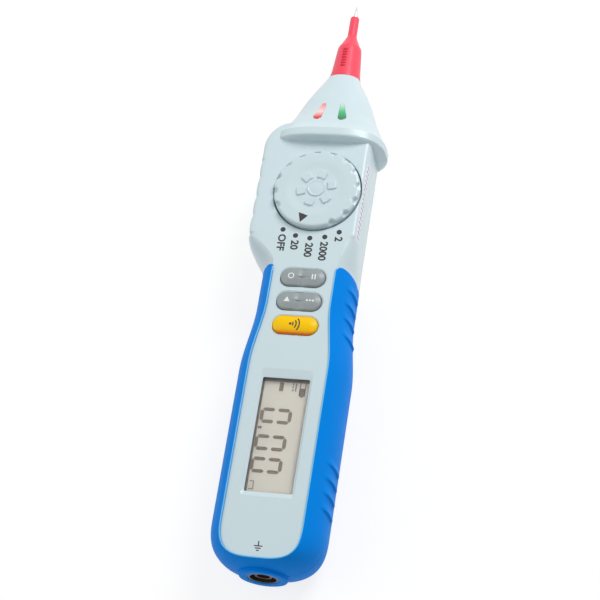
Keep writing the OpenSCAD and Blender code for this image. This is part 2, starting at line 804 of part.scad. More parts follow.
board_half = 10.8;
board_waist_half = 10.5;
board_low_lead = 20.9;
board_right = 12.4;
board_left = 16.5;
board_head_top = 4;
board_tongue = 6;
board_tongue_l = 14;
board_screw_r = 3;
board_boss_gap = 0.4;
module circuit_board() {
    color("green")
        difference() {
            union() {
                wide(board_half, end_y + board_low_lead, swell_y, board_z, board_top);
                wide(board_waist_half, swell_y - over, head_room_y + over, board_z, board_top);
                box(-board_left, board_right, head_room_y + gap, nose_room_y - board_head_top, board_z, board_top);
                wide(board_tongue, nose_room_y - board_head_top - over, nose_y + board_tongue_l, board_z, board_top);
            }
            for (k = [0, 1])
                peg(screws[k][0], screws[k][1], boss_r + board_boss_gap, board_z - over, board_top + over);
            peg(0, dial_y, board_screw_r, board_z - over, board_top + over);
        }
}

chip_half = 4.6;
chip_t = 1.5;
pin_w = 0.5;
pin_l = 1.2;
pin_t = 0.3;
pin_pitch = 1.2;
chip_pins = 7;
module measuring_chip() {
    color("dimgray")
        translate([0, keys_y, board_z]) {
            wide(chip_half, -chip_half, chip_half, -chip_t, 0);
            for (turn = [0, 90, 180, 270], i = [0:chip_pins - 1])
                rotate(turn)
                    translate([chip_half + pin_l / 2, (i - (chip_pins - 1) / 2) * pin_pitch, -pin_t / 2])
                        cube([pin_l, pin_w, pin_t], center = true);
        }
}

buzzer_r = 5.5;
buzzer_t = 4;
buzzer_x = 10;
buzzer_hole_r = 1;
module buzzer() {
    color("dimgray")
        difference() {
            peg(-buzzer_x, dial_y - scallop_lead / 2, buzzer_r, board_z - buzzer_t, board_z);
            peg(-buzzer_x, dial_y - scallop_lead / 2, buzzer_hole_r, board_z - buzzer_t - over, board_z - buzzer_t / 2);
        }
}

fuse_r = 2.5;
fuse_l = 20;
fuse_cap_l = 5;
fuse_cap_t = 0.1;
fuse_x = 7;
fuse_drop = 3.3;
fuse_lead = 13.1;
clip_t = 0.5;
clip_l = 4;
clip_foot = 1.8;
module fuse() {
    color("lightcyan")
        translate([fuse_x, dial_y - fuse_lead, board_z - fuse_drop])
            rotate([-90, 0, 0]) {
                cylinder(r = fuse_r - fuse_cap_t, h = fuse_l);
                cylinder(r = fuse_r, h = fuse_cap_l);
                translate([0, 0, fuse_l - fuse_cap_l])
                    cylinder(r = fuse_r, h = fuse_cap_l);
            }
}
module fuse_clips() {
    inset = (fuse_cap_l - clip_l) / 2;
    color("gold")
        for (y = [inset, fuse_l - inset - clip_l])
            translate([fuse_x, dial_y - fuse_lead + y, board_z - fuse_drop])
                difference() {
                    union() {
                        rotate([-90, 0, 0])
                            cylinder(r = fuse_r + clip_t, h = clip_l);
                        wide(clip_foot, 0, clip_l, 0, fuse_drop);
                    }
                    rotate([-90, 0, 0])
                        translate([0, 0, -over])
                            cylinder(r = fuse_r, h = clip_l + 2 * over);
                    wide(fuse_r + over, -over, clip_l + over, -fuse_r - over, -fuse_r / 2);
                }
}

module key_profile() {
    h = key_top - skirt_z;
    square([key_w / 2 - key_edge, h]);
    square([key_w / 2, h - key_edge]);
    square([key_w / 2 + skirt_w, skirt_t]);
    translate([key_w / 2 - key_edge, h - key_edge])
        circle(key_edge);
}
module key_cap() {
    for (side = [-1, 1])
        translate([side * key_run, 0, skirt_z])
            rotate_extrude()
                key_profile();
    translate([-key_run, 0, skirt_z])
        rotate([90, 0, 90])
            linear_extrude(2 * key_run) {
                key_profile();
                mirror([1, 0])
                    key_profile();
            }
}
module rocker(y) {
    color("gray")
        translate([0, y, 0])
            difference() {
                union() {
                    key_cap();
                    translate([0, 0, skirt_z + pivot_sink])
                        rotate([90, 0, 0])
                            cylinder(r = pivot_r, h = key_w, center = true);
                }
                translate([0, 0, key_top + valley_r - valley_d])
                    rotate([90, 0, 0])
                        cylinder(r = valley_r, h = 2 * key_w, center = true);
            }
}
module upper_key() {
    rocker(key_ys[0]);
}
module lower_key() {
    rocker(key_ys[1]);
}
module sensing_key() {
    color("gold")
        translate([0, key_ys[2], 0])
            key_cap();
}

mat_top = skirt_z - key_travel - gap;
mat_t = 1.2;
mat_half = 8.9;
mat_edge = 4;
switch_half = 2.2;
switch_t = 1.3;
plunger_r = 1;
switch_x = 4.6;
dome_r = 1.8;
dome_h = 0.6;
switch_places = [[-switch_x, key_ys[0]], [switch_x, key_ys[0]], [-switch_x, key_ys[1]],
                 [switch_x, key_ys[1]], [0, key_ys[2]]];
module key_mat() {
    color("whitesmoke")
        difference() {
            wide(mat_half, key_ys[2] - mat_edge, key_ys[0] + mat_edge, mat_top - mat_t, mat_top);
            for (p = switch_places)
                peg(p[0], p[1], dome_r, mat_top - mat_t - over, mat_top - mat_t + dome_h);
        }
}
module key_switches() {
    color("silver")
        for (p = switch_places) {
            translate([p[0], p[1], 0])
                wide(switch_half, -switch_half, switch_half, board_top, board_top + switch_t);
            peg(p[0], p[1], plunger_r, board_top, mat_top - mat_t + dome_h);
        }
}

// Range dial and what turns with it
dial_top = body_t + dial_proud;
dial_z = well_z + gap;
dial_edge = 0.9;
flute_r = 1.3;
flute_out = 0.2;
plain_flutes = 1;
dish_r = 8.6;
dish_d = 0.35;
petal_count = 6;
petal_turn = 38;
petal_in_r = 3.8;
petal_out_r = 6.5;
flower_r = 3.1;
pointer_angle = -90 - position_angle;
rotor_t = 2.3;
rotor_r = 10.6;
rotor_top = well_under - gap;
rotor_z = rotor_top - rotor_t;
spigot_in_r = 2;
key_rib_l = 6.4;
key_rib_w = 1.2;
dial_screw_r = 1;
dial_screw_in = 5;
dial_screw_head_r = 2.6;
dial_screw_head_t = 1.5;
ball_r = 0.75;
ball_at = 10.3;
ball_pocket_at = 6.9;
notch_r = 0.5;
ring_r = 11.65;
ring_out_r = 12.4;
position_count = 5;
rest_position = 1;
module dial_profile() {
    h = dial_top - dial_z;
    square([dial_r - dial_edge, h]);
    square([dial_r, h - dial_edge]);
    translate([dial_r - dial_edge, h - dial_edge])
        circle(dial_edge);
}
module range_dial() {
    color("honeydew")
        translate([0, dial_y, 0])
            difference() {
                union() {
                    difference() {
                        translate([0, 0, dial_z])
                            rotate_extrude()
                                dial_profile();
                        for (i = [plain_flutes + 1:dial_flutes - plain_flutes - 1])
                            rotate(pointer_angle + i * 360 / dial_flutes)
                                peg(dial_r + flute_out, 0, flute_r, dial_z - over, dial_top + over);
                        peg(0, 0, dish_r, dial_top - dish_d, dial_top + over);
                    }
                    for (i = [0:petal_count - 1])
                        rotate(pointer_angle + i * 360 / petal_count - petal_turn / 2)
                            translate([0, 0, dial_top - dish_d - over])
                                rotate_extrude(angle = petal_turn)
                                    translate([petal_in_r, 0])
                                        square([petal_out_r - petal_in_r, dish_d + over]);
                    peg(0, 0, flower_r, dial_top - dish_d - over, dial_top);
                    peg(0, 0, shaft_r, rotor_top, dial_z + over);
                    peg(0, 0, spigot_in_r, rotor_z, dial_z);
                    wide(key_rib_l / 2, -key_rib_w / 2, key_rib_w / 2, rotor_z + rotor_t / 2, dial_z);
                }
                peg(0, 0, dial_screw_r, rotor_z - over, rotor_z + dial_screw_in);
            }
}
module dial_rotor() {
    color("white")
        translate([0, dial_y, 0])
            difference() {
                peg(0, 0, rotor_r, rotor_z, rotor_top);
                peg(0, 0, spigot_in_r, rotor_z - over, rotor_top + over);
                wide(key_rib_l / 2 + fit, -key_rib_w / 2 - fit, key_rib_w / 2 + fit, rotor_z + rotor_t / 2, rotor_top + over);
                for (turn = [0, 180])
                    rotate(turn)
                        translate([ball_pocket_at, 0, rotor_z + rotor_t / 2])
                            rotate([0, 90, 0])
                                cylinder(r = ball_r + fit, h = rotor_r);
            }
}
contact_t = 0.2;
contact_w = 1.2;
contact_rs = [5, 7.6];
contact_turn = 64;
bump_r = 0.5;
bump_h = 0.25;
module rotor_contacts() {
    color("gold")
        translate([0, dial_y, rotor_z - contact_t])
            for (r = contact_rs, turn = [0, 180])
                rotate(turn + 90 - contact_turn / 2) {
                    rotate_extrude(angle = contact_turn)
                        translate([r, 0])
                            square([contact_w, contact_t]);
                    rotate(contact_turn / 2)
                        peg(r + contact_w / 2, 0, bump_r, -bump_h, contact_t);
                }
}
module detent_balls() {
    color("silver")
        translate([0, dial_y, rotor_z + rotor_t / 2])
            for (side = [-1, 1])
                translate([side * ball_at, 0, 0])
                    rotate_extrude()
                        intersection() {
                            circle(ball_r);
                            translate([0, -ball_r])
                                square(2 * ball_r);
                        }
}
spring_r = 0.62;
spring_wire = 0.2;
module detent_springs() {
    color("silver")
        translate([0, dial_y, rotor_z + rotor_t / 2])
            for (turn = [0, 180])
                rotate(turn)
                    translate([ball_pocket_at, 0, 0])
                        rotate([0, 90, 0])
                            difference() {
                                cylinder(r = spring_r, h = ball_at - ball_pocket_at - ball_r);
                                translate([0, 0, -over])
                                    cylinder(r = spring_r - spring_wire, h = ball_at);
                            }
}
module dial_screw() {
    color("silver")
        translate([0, dial_y, 0]) {
            peg(0, 0, dial_screw_head_r, rotor_z - dial_screw_head_t, rotor_z);
            peg(0, 0, dial_screw_r, rotor_z - fit, rotor_z + dial_screw_in);
        }
}
module detent_ring() {
    color("white")
        translate([0, dial_y, 0])
            difference() {
                peg(0, 0, ring_out_r, board_top, well_under - gap);
                peg(0, 0, ring_r, board_top - over, well_under);
                for (side = [0, 180], i = [0:position_count - 1])
                    rotate(side + (i - rest_position) * position_angle)
                        peg(ring_r, 0, notch_r, board_top - over, well_under);
            }
}

module lens(side) {
    intersection() {
        light_bar(side, 0);
        translate([0, 0, light_lift])
            nose(true);
    }
}
module red_lens() {
    color("red")
        lens(-1);
}
module green_lens() {
    color("limegreen")
        lens(1);
}
led_half = 1.2;
led_dome_r = 0.8;
module led(side) {
    translate([side * light_big_x, nose_y + light_big_lead, 0]) {
        wide(led_half, -led_half, led_half, board_top, board_top + led_t / 2);
        peg(0, 0, led_dome_r, board_top, board_top + led_t);
    }
}
module red_led() {
    color("red")
        led(-1);
}
module green_led() {
    color("limegreen")
        led(1);
}

antenna_half = 5.6;
antenna_h = 2.6;
antenna_t = 0.3;
antenna_lead = 2;
module sensing_antenna() {
    color("orange")
        wide(antenna_half, nose_y + antenna_lead, nose_y + antenna_lead + antenna_t, board_top, board_top + antenna_h);
}

module probe_holder() {
    color("dimgray")
        difference() {
            union() {
                rod(holder_y, holder_end_y, spigot_r);
                rod(holder_y, nose_room_end_y, holder_flange_r);
            }
            rod(holder_y - over, holder_end_y + over, brass_r);
        }
}
module needle_sleeve() {
    color("gold")
        difference() {
            rod(brass_y, brass_end_y, brass_r);
            rod(needle_y, brass_end_y + over, needle_r);
        }
}
module probe_needle() {
    color("silver") {
        rod(needle_y, point_y, needle_r);
        rod(point_y, tip_y, needle_r, tip_r);
    }
}
spring_half = 1.5;
contact_run = 3;
module probe_contact() {
    color("gold")
        wide(spring_half, brass_y + antenna_t, brass_y + contact_run, axis_z + brass_r, board_z);
}

module tip_guard() {
    color("red")
        difference() {
            union() {
                rod(nose_end_y + gap, cone_y, nose_end_r, sleeve_top_r);
                rod(cone_y, tube_y, sleeve_top_r, tube_r);
                rod(tube_y, point_y, tube_r);
            }
            rod(nose_end_y, holder_end_y + gap, spigot_r + fit);
            rod(holder_end_y, brass_end_y + gap, brass_r + fit);
            rod(brass_end_y, point_y + over, needle_r + fit);
        }
}

module socket_contact() {
    color("gold")
        difference() {
            rod(contact_y, contact_y + socket_l + contact_end, socket_r + contact_wall);
            rod(contact_y - over, contact_y + socket_l, socket_r);
        }
}
module socket_insulator() {
    inside = insulator_y + insulator_l - insulator_base;
    color("dimgray")
        difference() {
            rod(insulator_y, insulator_y + insulator_l, shroud_r - fit);
            rod(insulator_y - over, inside, shroud_r - fit - shroud_wall);
            rod(inside - over, insulator_y + insulator_l + over, socket_r + contact_wall);
        }
}

module cell() {
    cylinder(r = cell_r, h = cell_l - cell_nub_l);
    cylinder(r = cell_nub_r, h = cell_l);
}
module battery_cells() {
    color("goldenrod") {
        translate([-cell_x, cell_low_y + spring_l, cell_z])
            rotate([-90, 0, 0])
                cell();
        translate([cell_x, cell_high_y - spring_l, cell_z])
            rotate([90, 0, 0])
                cell();
    }
}
battery_spring_r = 2.6;
battery_wire = 0.5;
module battery_spring() {
    difference() {
        cylinder(r = battery_spring_r, h = spring_l);
        translate([0, 0, -over])
            cylinder(r = battery_spring_r - battery_wire, h = spring_l + 2 * over);
    }
}
module battery_springs() {
    color("silver") {
        translate([-cell_x, cell_low_y, cell_z])
            rotate([-90, 0, 0])
                battery_spring();
        translate([cell_x, cell_high_y - spring_l, cell_z])
            rotate([-90, 0, 0])
                battery_spring();
    }
}
plate_z = 2.6;
plate_h = 7.6;
plate_edge = 0.4;
plate_gap = 0.6;
leg_half = 1.2;
module battery_plates() {
    half = bay_half - plate_edge;
    color("silver") {
        wide(half, plate_low_y, plate_low_y + plate_t, plate_z, plate_z + plate_h);
        for (side = [-1, 1]) {
            box(min(side * plate_gap, side * half), max(side * plate_gap, side * half),
                plate_high_y, plate_high_y + plate_t, plate_z, plate_z + plate_h);
            translate([side * waist_post_x, 0, 0])
                wide(leg_half, plate_high_y, plate_high_y + plate_t, plate_z, board_z);
        }
    }
}

module battery_cover() {
    color("honeydew")
        difference() {
            wide(cover_w / 2, cover_y, cover_end_y, 0, cover_t);
            for (y = cover_screws_y) {
                peg(0, y, cover_screw_r, -over, cover_t + over);
                peg(0, y, cover_screw_head_r, -over, cover_screw_sink);
            }
        }
}
module cover_screws() {
    color("silver")
        for (y = cover_screws_y) {
            peg(0, y, cover_screw_head_r, cover_screw_head_z, cover_screw_sink);
            peg(0, y, cover_screw_r, cover_screw_head_z, cover_screw_sink + cover_screw_l);
        }
}
module case_screws() {
    color("silver")
        for (p = screws) {
            peg(p[0], p[1], screw_head_r, screw_sink - screw_head_t, screw_sink);
            peg(p[0], p[1], pilot_r, screw_sink - screw_head_t, parting_z + pilot_l - over);
        }
}

front_housing();
rear_housing();
front_grip();
rear_grip();
display_window();
lcd_panel();
lcd_carrier();
zebra_strips();
circuit_board();
measuring_chip();
buzzer();
fuse();
fuse_clips();
upper_key();
lower_key();
sensing_key();
key_mat();
key_switches();
range_dial();
dial_rotor();
rotor_contacts();
detent_balls();
detent_springs();
dial_screw();
detent_ring();
red_lens();
green_lens();
red_led();
green_led();
sensing_antenna();
probe_holder();
needle_sleeve();
probe_needle();
probe_contact();
tip_guard();
socket_contact();
socket_insulator();
battery_cells();
battery_springs();
battery_plates();
battery_cover();
cover_screws();
case_screws();
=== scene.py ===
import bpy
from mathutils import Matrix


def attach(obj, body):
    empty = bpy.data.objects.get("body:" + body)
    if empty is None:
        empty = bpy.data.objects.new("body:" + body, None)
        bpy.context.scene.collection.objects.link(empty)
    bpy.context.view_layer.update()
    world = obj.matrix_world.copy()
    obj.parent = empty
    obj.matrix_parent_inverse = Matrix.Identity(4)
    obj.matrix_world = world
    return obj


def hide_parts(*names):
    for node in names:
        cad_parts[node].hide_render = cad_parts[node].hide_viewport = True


bl_info = {
    "name": "Pen multimeter",
    "version": (1, 0, 0),
    "blender": (4, 5, 0),
    "location": "3D View > Sidebar > Meter",
    "description": "Dresses the packed pen multimeter with its moulded shells, dial, keys, display and prints",
    "category": "Add Mesh",
}

import math

import bmesh
import bpy
import numpy as np
from mathutils import Matrix, Vector

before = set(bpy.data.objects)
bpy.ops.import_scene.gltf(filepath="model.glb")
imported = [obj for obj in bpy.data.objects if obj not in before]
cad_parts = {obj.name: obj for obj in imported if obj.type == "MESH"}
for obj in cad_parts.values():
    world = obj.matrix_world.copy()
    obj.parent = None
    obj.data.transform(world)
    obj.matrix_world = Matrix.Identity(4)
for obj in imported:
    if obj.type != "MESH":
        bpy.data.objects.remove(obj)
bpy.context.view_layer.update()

# All shapes below are worked out in millimetres in the row's frame, and MM turns them into metres.
MM = 0.001


# ---------------------------------------------------------------- user settings

class MeterSizes(bpy.types.PropertyGroup):
    """Sizes of the details that the dressing adds."""
    rib_height: bpy.props.FloatProperty(
        name="Rib height", description="How far the ribs stand out of the grip",
        default=0.0007, min=0.0, max=0.001, unit="LENGTH", subtype="DISTANCE")
    seam_width: bpy.props.FloatProperty(
        name="Seam width", description="Width of the groove along the parting line",
        default=0.00024, min=0.0, max=0.0006, unit="LENGTH", subtype="DISTANCE")
    flute_radius: bpy.props.FloatProperty(
        name="Flute radius", description="Radius of each flute in the dial's rim",
        default=0.0013, min=0.0005, max=0.002, unit="LENGTH", subtype="DISTANCE")
    petal_height: bpy.props.FloatProperty(
        name="Petal height", description="How far the pads in the dial's dish stand up",
        default=0.00046, min=0.0001, max=0.0006, unit="LENGTH", subtype="DISTANCE")
    key_valley: bpy.props.FloatProperty(
        name="Key valley", description="Depth of the hollow across a rocker key's middle",
        default=0.0004, min=0.0, max=0.0008, unit="LENGTH", subtype="DISTANCE")
    print_height: bpy.props.FloatProperty(
        name="Print height", description="Thickness of the printed marks",
        default=0.00002, min=0.00001, max=0.0001, unit="LENGTH", subtype="DISTANCE")
    dot_radius: bpy.props.FloatProperty(
        name="Dot radius", description="Radius of the dots round the dial",
        default=0.00085, min=0.0004, max=0.0015, unit="LENGTH", subtype="DISTANCE")


class MeterColours(bpy.types.PropertyGroup):
    """Colours of the finishes that show most."""
    shell: bpy.props.FloatVectorProperty(
        name="Shell", description="Pale moulded housing", subtype="COLOR", size=3,
        min=0.0, max=1.0, default=(0.62, 0.75, 0.79))
    grip: bpy.props.FloatVectorProperty(
        name="Grip", description="Blue overmould", subtype="COLOR", size=3,
        min=0.0, max=1.0, default=(0.0, 0.255, 0.86))
    guard: bpy.props.FloatVectorProperty(
        name="Tip guard", description="Red pull-off sleeve", subtype="COLOR", size=3,
        min=0.0, max=1.0, default=(0.93, 0.075, 0.125))
    grey_key: bpy.props.FloatVectorProperty(
        name="Grey keys", description="Two rocker keys", subtype="COLOR", size=3,
        min=0.0, max=1.0, default=(0.29, 0.33, 0.34))
    yellow_key: bpy.props.FloatVectorProperty(
        name="Yellow key", description="Press key", subtype="COLOR", size=3,
        min=0.0, max=1.0, default=(1.0, 0.60, 0.0))
    display: bpy.props.FloatVectorProperty(
        name="Display", description="Ground of the liquid crystal display", subtype="COLOR", size=3,
        min=0.0, max=1.0, default=(0.40, 0.37, 0.325))
    ink: bpy.props.FloatVectorProperty(
        name="Ink", description="Printed marks round the dial", subtype="COLOR", size=3,
        min=0.0, max=1.0, default=(0.02, 0.02, 0.025))


def sizes():
    return bpy.context.scene.meter_sizes


def colours():
    return bpy.context.scene.meter_colours


# ---------------------------------------------------------------- the object's measures, in millimetres

PARTING_Z, FACE_Z, TOP_Z, AXIS_Z = 14.0, 25.2, 29.0, 12.8
GUARD_Y, NOSE_Y, SLEEVE_Y = 41.4, 45.0, 72.4
GRIP_Y, ROUND_Y, WAIST_Y, SWELL_Y = -4.6, -88.0, -17.0, -39.0
DIAL_Y = 23.1
KEY_YS = (-8.45, -16.8, -25.15)
HANDLE_W, WAIST_W = 35.4, 30.9
PANEL_W, PANEL_WAIST_W = 25.2, 20.4
HEAD_RIGHT, HEAD_LEFT, HEAD_EDGE = 15.4, 21.1, 3.2
BULGE_Y, BULGE_RUN = -5.7, 12.0
SHOULDER, HEAD_TOP_Y, HEAD_RIGHT_TOP = 8.6, 48.3, 45.3
SCALLOP_Y, SCALLOP_PITCH, SCALLOP_COUNT, SCALLOP_DEPTH = 6.7, 7.0, 4, 0.5
ROUND_L, PANEL_END, BACK_END, BACK_INSET = 15.1, 2.1, 5.0, 6.0
GRIP_T, GRIP_RIM_T, GRIP_PROUD = 1.6, 1.8, 0.6
WINDOW_HALF, WINDOW_LOW, WINDOW_HIGH = 7.5, -80.5, -43.0
RIB_YS = (-10.8, -15.7, -20.7, -26.5, -69.5, -74.2, -78.9, -83.8)
DIAL_R, DIAL_TOP, WELL_R = 14.15, FACE_Z + 2.2, 14.6
KEY_RUN, KEY_R, KEY_EDGE, KEY_TOP = 4.2, 3.1, 0.85, FACE_Z + 1.2
ROCKER_CROWN, YELLOW_CROWN = 0.45, 0.5
CELL_R, CELL_L, CELL_X, CELL_Z, CELL_LOW = 5.15, 44.5, 5.3, 7.8, -81.7


def lerp(a, b, t):
    """The value at share t of the way from a to b."""
    return a + (b - a) * t


def smooth(t):
    """Eases from 0 to 1: three times the square less twice the cube."""
    t = np.clip(t, 0.0, 1.0)
    return t * t * (3.0 - 2.0 * t)


def power(v, e):
    """Power of a value's size with its sign kept, which makes a superellipse of an ellipse."""
    return np.sign(v) * np.abs(v) ** e


def curve(x, xs, ys):
    """Smooth line through the table's points: a cubic between neighbours whose end slopes are
    the table's own central slopes."""
    x, xs, ys = np.asarray(x, float), np.asarray(xs, float), np.asarray(ys, float)
    slopes = np.gradient(ys, xs)
    i = np.clip(np.searchsorted(xs, x, side="right") - 1, 0, len(xs) - 2)
    h = xs[i + 1] - xs[i]
    t = (x - xs[i]) / h
    return ((2 * t**3 - 3 * t**2 + 1) * ys[i] + (t**3 - 2 * t**2 + t) * h * slopes[i]
            + (3 * t**2 - 2 * t**3) * ys[i + 1] + (t**3 - t**2) * h * slopes[i + 1])


# ---------------------------------------------------------------- mesh helpers

def grid_faces(rows, cols, closed):
    """Four-sided faces between rows of points; the last column joins the first where closed."""
    j, i = np.meshgrid(np.arange(rows - 1), np.arange(cols if closed else cols - 1), indexing="ij")
    k = (i + 1) % cols
    return np.stack([j * cols + i, j * cols + k, (j + 1) * cols + k, (j + 1) * cols + i], -1).reshape(-1, 4)


def put_mesh(name, points, faces, material=None, sharp=32.0):
    """Makes an object from points in millimetres and from faces, joins doubles, turns the faces
    outward and shades smooth except over edges sharper than the given angle."""
    mesh = bpy.data.meshes.new(name)
    mesh.from_pydata((np.asarray(points, float) * MM).tolist(), [], faces)
    work = bmesh.new()
    work.from_mesh(mesh)
    bmesh.ops.remove_doubles(work, verts=work.verts, dist=2e-6)
    bmesh.ops.recalc_face_normals(work, faces=work.faces)
    work.to_mesh(mesh)
    work.free()
    obj = bpy.data.objects.new(name, mesh)
    bpy.context.scene.collection.objects.link(obj)
    finish_mesh(obj, material, sharp)
    return obj


def finish_mesh(obj, material=None, sharp=32.0):
    """Shades smooth except over edges sharper than the angle, and gives the mesh its material."""
    mesh = obj.data
    mesh.shade_smooth()
    mesh.set_sharp_from_angle(angle=math.radians(sharp))
    if material:
        mesh.materials.clear()
        mesh.materials.append(material)
    mesh.update()


def even_shading(obj):
    """Flat faces keep an even shade beside small round edges: large faces lead the normals."""
    step = obj.modifiers.new("even", "WEIGHTED_NORMAL")
    step.keep_sharp, step.weight = True, 90
    graph = bpy.context.evaluated_depsgraph_get()
    made = bpy.data.meshes.new_from_object(obj.evaluated_get(graph))
    obj.modifiers.clear()
    old, obj.data = obj.data, made
    bpy.data.meshes.remove(old)


def loft(name, rings, material=None, sharp=32.0):
    """Closed solid through rings of points, shape (rings, points, 3): each ring joins the next
    and the first and last rings are closed with one face each."""
    rings = np.asarray(rings, float)
    count, per = rings.shape[:2]
    faces = grid_faces(count, per, True).tolist()
    faces += [list(range(per)), list(range((count - 1) * per, count * per))]
    return put_mesh(name, rings.reshape(-1, 3), faces, material, sharp)


def turned(name, profile, centre, axis="z", steps=96, material=None, sharp=32.0):
    """Solid of revolution: each (radius, height) of the profile is swept round the axis."""
    profile = np.asarray(profile, float)
    turn = np.linspace(0, 2 * math.pi, steps, endpoint=False)
    r = np.maximum(profile[:, 0], 1e-4)[:, None]
    h = np.repeat(profile[:, 1][:, None], steps, 1)
    a, b = r * np.cos(turn), r * np.sin(turn)
    rings = np.stack([a, b, h], -1) if axis == "z" else np.stack([a, h, -b], -1)
    return loft(name, rings + np.asarray(centre, float), material, sharp)


def arc(centre, radius, start, stop, steps):
    """Points of a circular arc as (first, second), angles in degrees."""
    t = np.radians(np.linspace(start, stop, steps))
    return np.stack([centre[0] + radius * np.cos(t), centre[1] + radius * np.sin(t)], -1)


def oblong(half_run, radius, centre, arc_steps=24, line_steps=24):
    """Outline of an oblong with round ends, its long way along x: half circles joined by lines."""
    t = np.radians(np.linspace(-90, 90, arc_steps))
    line = np.linspace(half_run, -half_run, line_steps + 2)[1:-1]
    right = np.stack([half_run + radius * np.cos(t), radius * np.sin(t)], -1)
    top = np.stack([line, np.full_like(line, radius)], -1)
    return np.concatenate([right, top, -right, -top]) + np.asarray(centre, float)


def round_box(x0, x1, y0, y1, radius, steps=8):
    """Outline of a rectangle with round corners."""
    radius = max(radius, 1e-3)
    corners = [(x1 - radius, y1 - radius, 0), (x0 + radius, y1 - radius, 90),
               (x0 + radius, y0 + radius, 180), (x1 - radius, y0 + radius, 270)]
    return np.concatenate([arc((x, y), radius, a, a + 90, steps) for x, y, a in corners])


def at_height(outline, z):
    """A flat outline's points at one height."""
    return np.concatenate([outline, np.full((len(outline), 1), float(z))], 1)


def tower(name, layers, material=None, sharp=32.0):
    """Solid through flat outlines at given heights: a list of (outline, z)."""
    return loft(name, np.stack([at_height(o, z) for o, z in layers]), material, sharp)


def block(name, x0, x1, y0, y1, z0, z1, material=None):
    """Box between two values on each axis."""
    outline = np.array([(x0, y0), (x1, y0), (x1, y1), (x0, y1)])
    return tower(name, [(outline, z0), (outline, z1)], material)


def rod(name, y0, y1, r0, r1=None, steps=96, centre=(0.0, AXIS_Z)):
    """Round bar along y between two circles about the given axis."""
    return turned(name, [(r0, y0), (r0 if r1 is None else r1, y1)], (centre[0], 0, centre[1]), "y", steps)


def combine(obj, others, operation="DIFFERENCE"):
    """Adds or cuts the other solids exactly, keeps the result as the object's mesh and removes them."""
    group = bpy.data.collections.new("combine")
    for other in others:
        group.objects.link(other)
    step = obj.modifiers.new("combine", "BOOLEAN")
    step.operand_type, step.collection = "COLLECTION", group
    step.operation, step.solver = operation, "MANIFOLD"
    graph = bpy.context.evaluated_depsgraph_get()
    made = bpy.data.meshes.new_from_object(obj.evaluated_get(graph))
    obj.modifiers.clear()
    old, obj.data = obj.data, made
    bpy.data.meshes.remove(old)
    for other in others:
        mesh = other.data
        bpy.data.objects.remove(other)
        bpy.data.meshes.remove(mesh)
    bpy.data.collections.remove(group)
    return obj


def clean(obj, material, sharp=32.0):
    """Joins the doubles a cut leaves, then shades again."""
    work = bmesh.new()
    work.from_mesh(obj.data)
    bmesh.ops.remove_doubles(work, verts=work.verts, dist=1e-6)
    bmesh.ops.dissolve_degenerate(work, dist=1e-6, edges=work.edges)
    work.to_mesh(obj.data)
    work.free()
    finish_mesh(obj, material, sharp)
    even_shading(obj)
    return obj


def join(name, parts, material=None):
    """One object from several: their points and faces are put into one mesh."""
    work = bmesh.new()
    for part in parts:
        work.from_mesh(part.data)
        mesh = part.data
        bpy.data.objects.remove(part)
        bpy.data.meshes.remove(mesh)
    mesh = bpy.data.meshes.new(name)
    work.to_mesh(mesh)
    work.free()
    obj = bpy.data.objects.new(name, mesh)
    bpy.context.scene.collection.objects.link(obj)
    finish_mesh(obj, material)
    return obj


def place(obj, body, *nodes, slot=None):
    """Puts a piece on its body and hides the nodes that it stands for; the slot is not used."""
    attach(obj, body)
    if nodes:
        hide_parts(*nodes)
    return obj


# ---------------------------------------------------------------- finishes

def node_group(name, inputs, outputs):
    """A new node group with its sockets, and the nodes at its two ends."""
    group = bpy.data.node_groups.new(name, "ShaderNodeTree")
    for label, kind, value in inputs:
        socket = group.interface.new_socket(label, in_out="INPUT", socket_type=kind)
        if value is not None:
            socket.default_value = value
    for label, kind in outputs:
        group.interface.new_socket(label, in_out="OUTPUT", socket_type=kind)
    return group, group.nodes.new("NodeGroupInput"), group.nodes.new("NodeGroupOutput")


def wire(tree, kind, links=None, **values):
    """Adds a node, sets its plain values and links its inputs."""
    node = tree.nodes.new(kind)
    for key, value in values.items():
        if hasattr(node, key):
            setattr(node, key, value)
    for key, source in (links or {}).items():
        socket = node.inputs[key]
        if isinstance(source, bpy.types.NodeSocket):
            tree.links.new(source, socket)
        else:
            socket.default_value = source
    return node


def math_node(tree, operation, a, b=0.0):
    return wire(tree, "ShaderNodeMath", {0: a, 1: b}, operation=operation).outputs[0]


def object_place(tree):
    return wire(tree, "ShaderNodeTexCoord").outputs["Object"]


def noise(tree, place_, scale, detail, roughness=0.5):
    values = {"Vector": place_, "Scale": scale, "Detail": detail, "Roughness": roughness}
    return wire(tree, "ShaderNodeTexNoise", values).outputs["Fac"]


def map_range(tree, value, low=0.0, high=1.0, to_low=0.0, to_high=1.0):
    values = {"Value": value, "From Min": low, "From Max": high, "To Min": to_low, "To Max": to_high}
    return wire(tree, "ShaderNodeMapRange", values).outputs[0]


def mix_colours(tree, factor, first, second):
    return wire(tree, "ShaderNodeMix", {"Factor": factor, 6: first, 7: second}, data_type="RGBA").outputs[2]


def centred(tree, value, spread, middle):
    """Turns a noise about a half into a value that strays by the spread about the middle."""
    value = math_node(tree, "MULTIPLY", math_node(tree, "SUBTRACT", value, 0.5), spread)
    return math_node(tree, "ADD", value, middle)


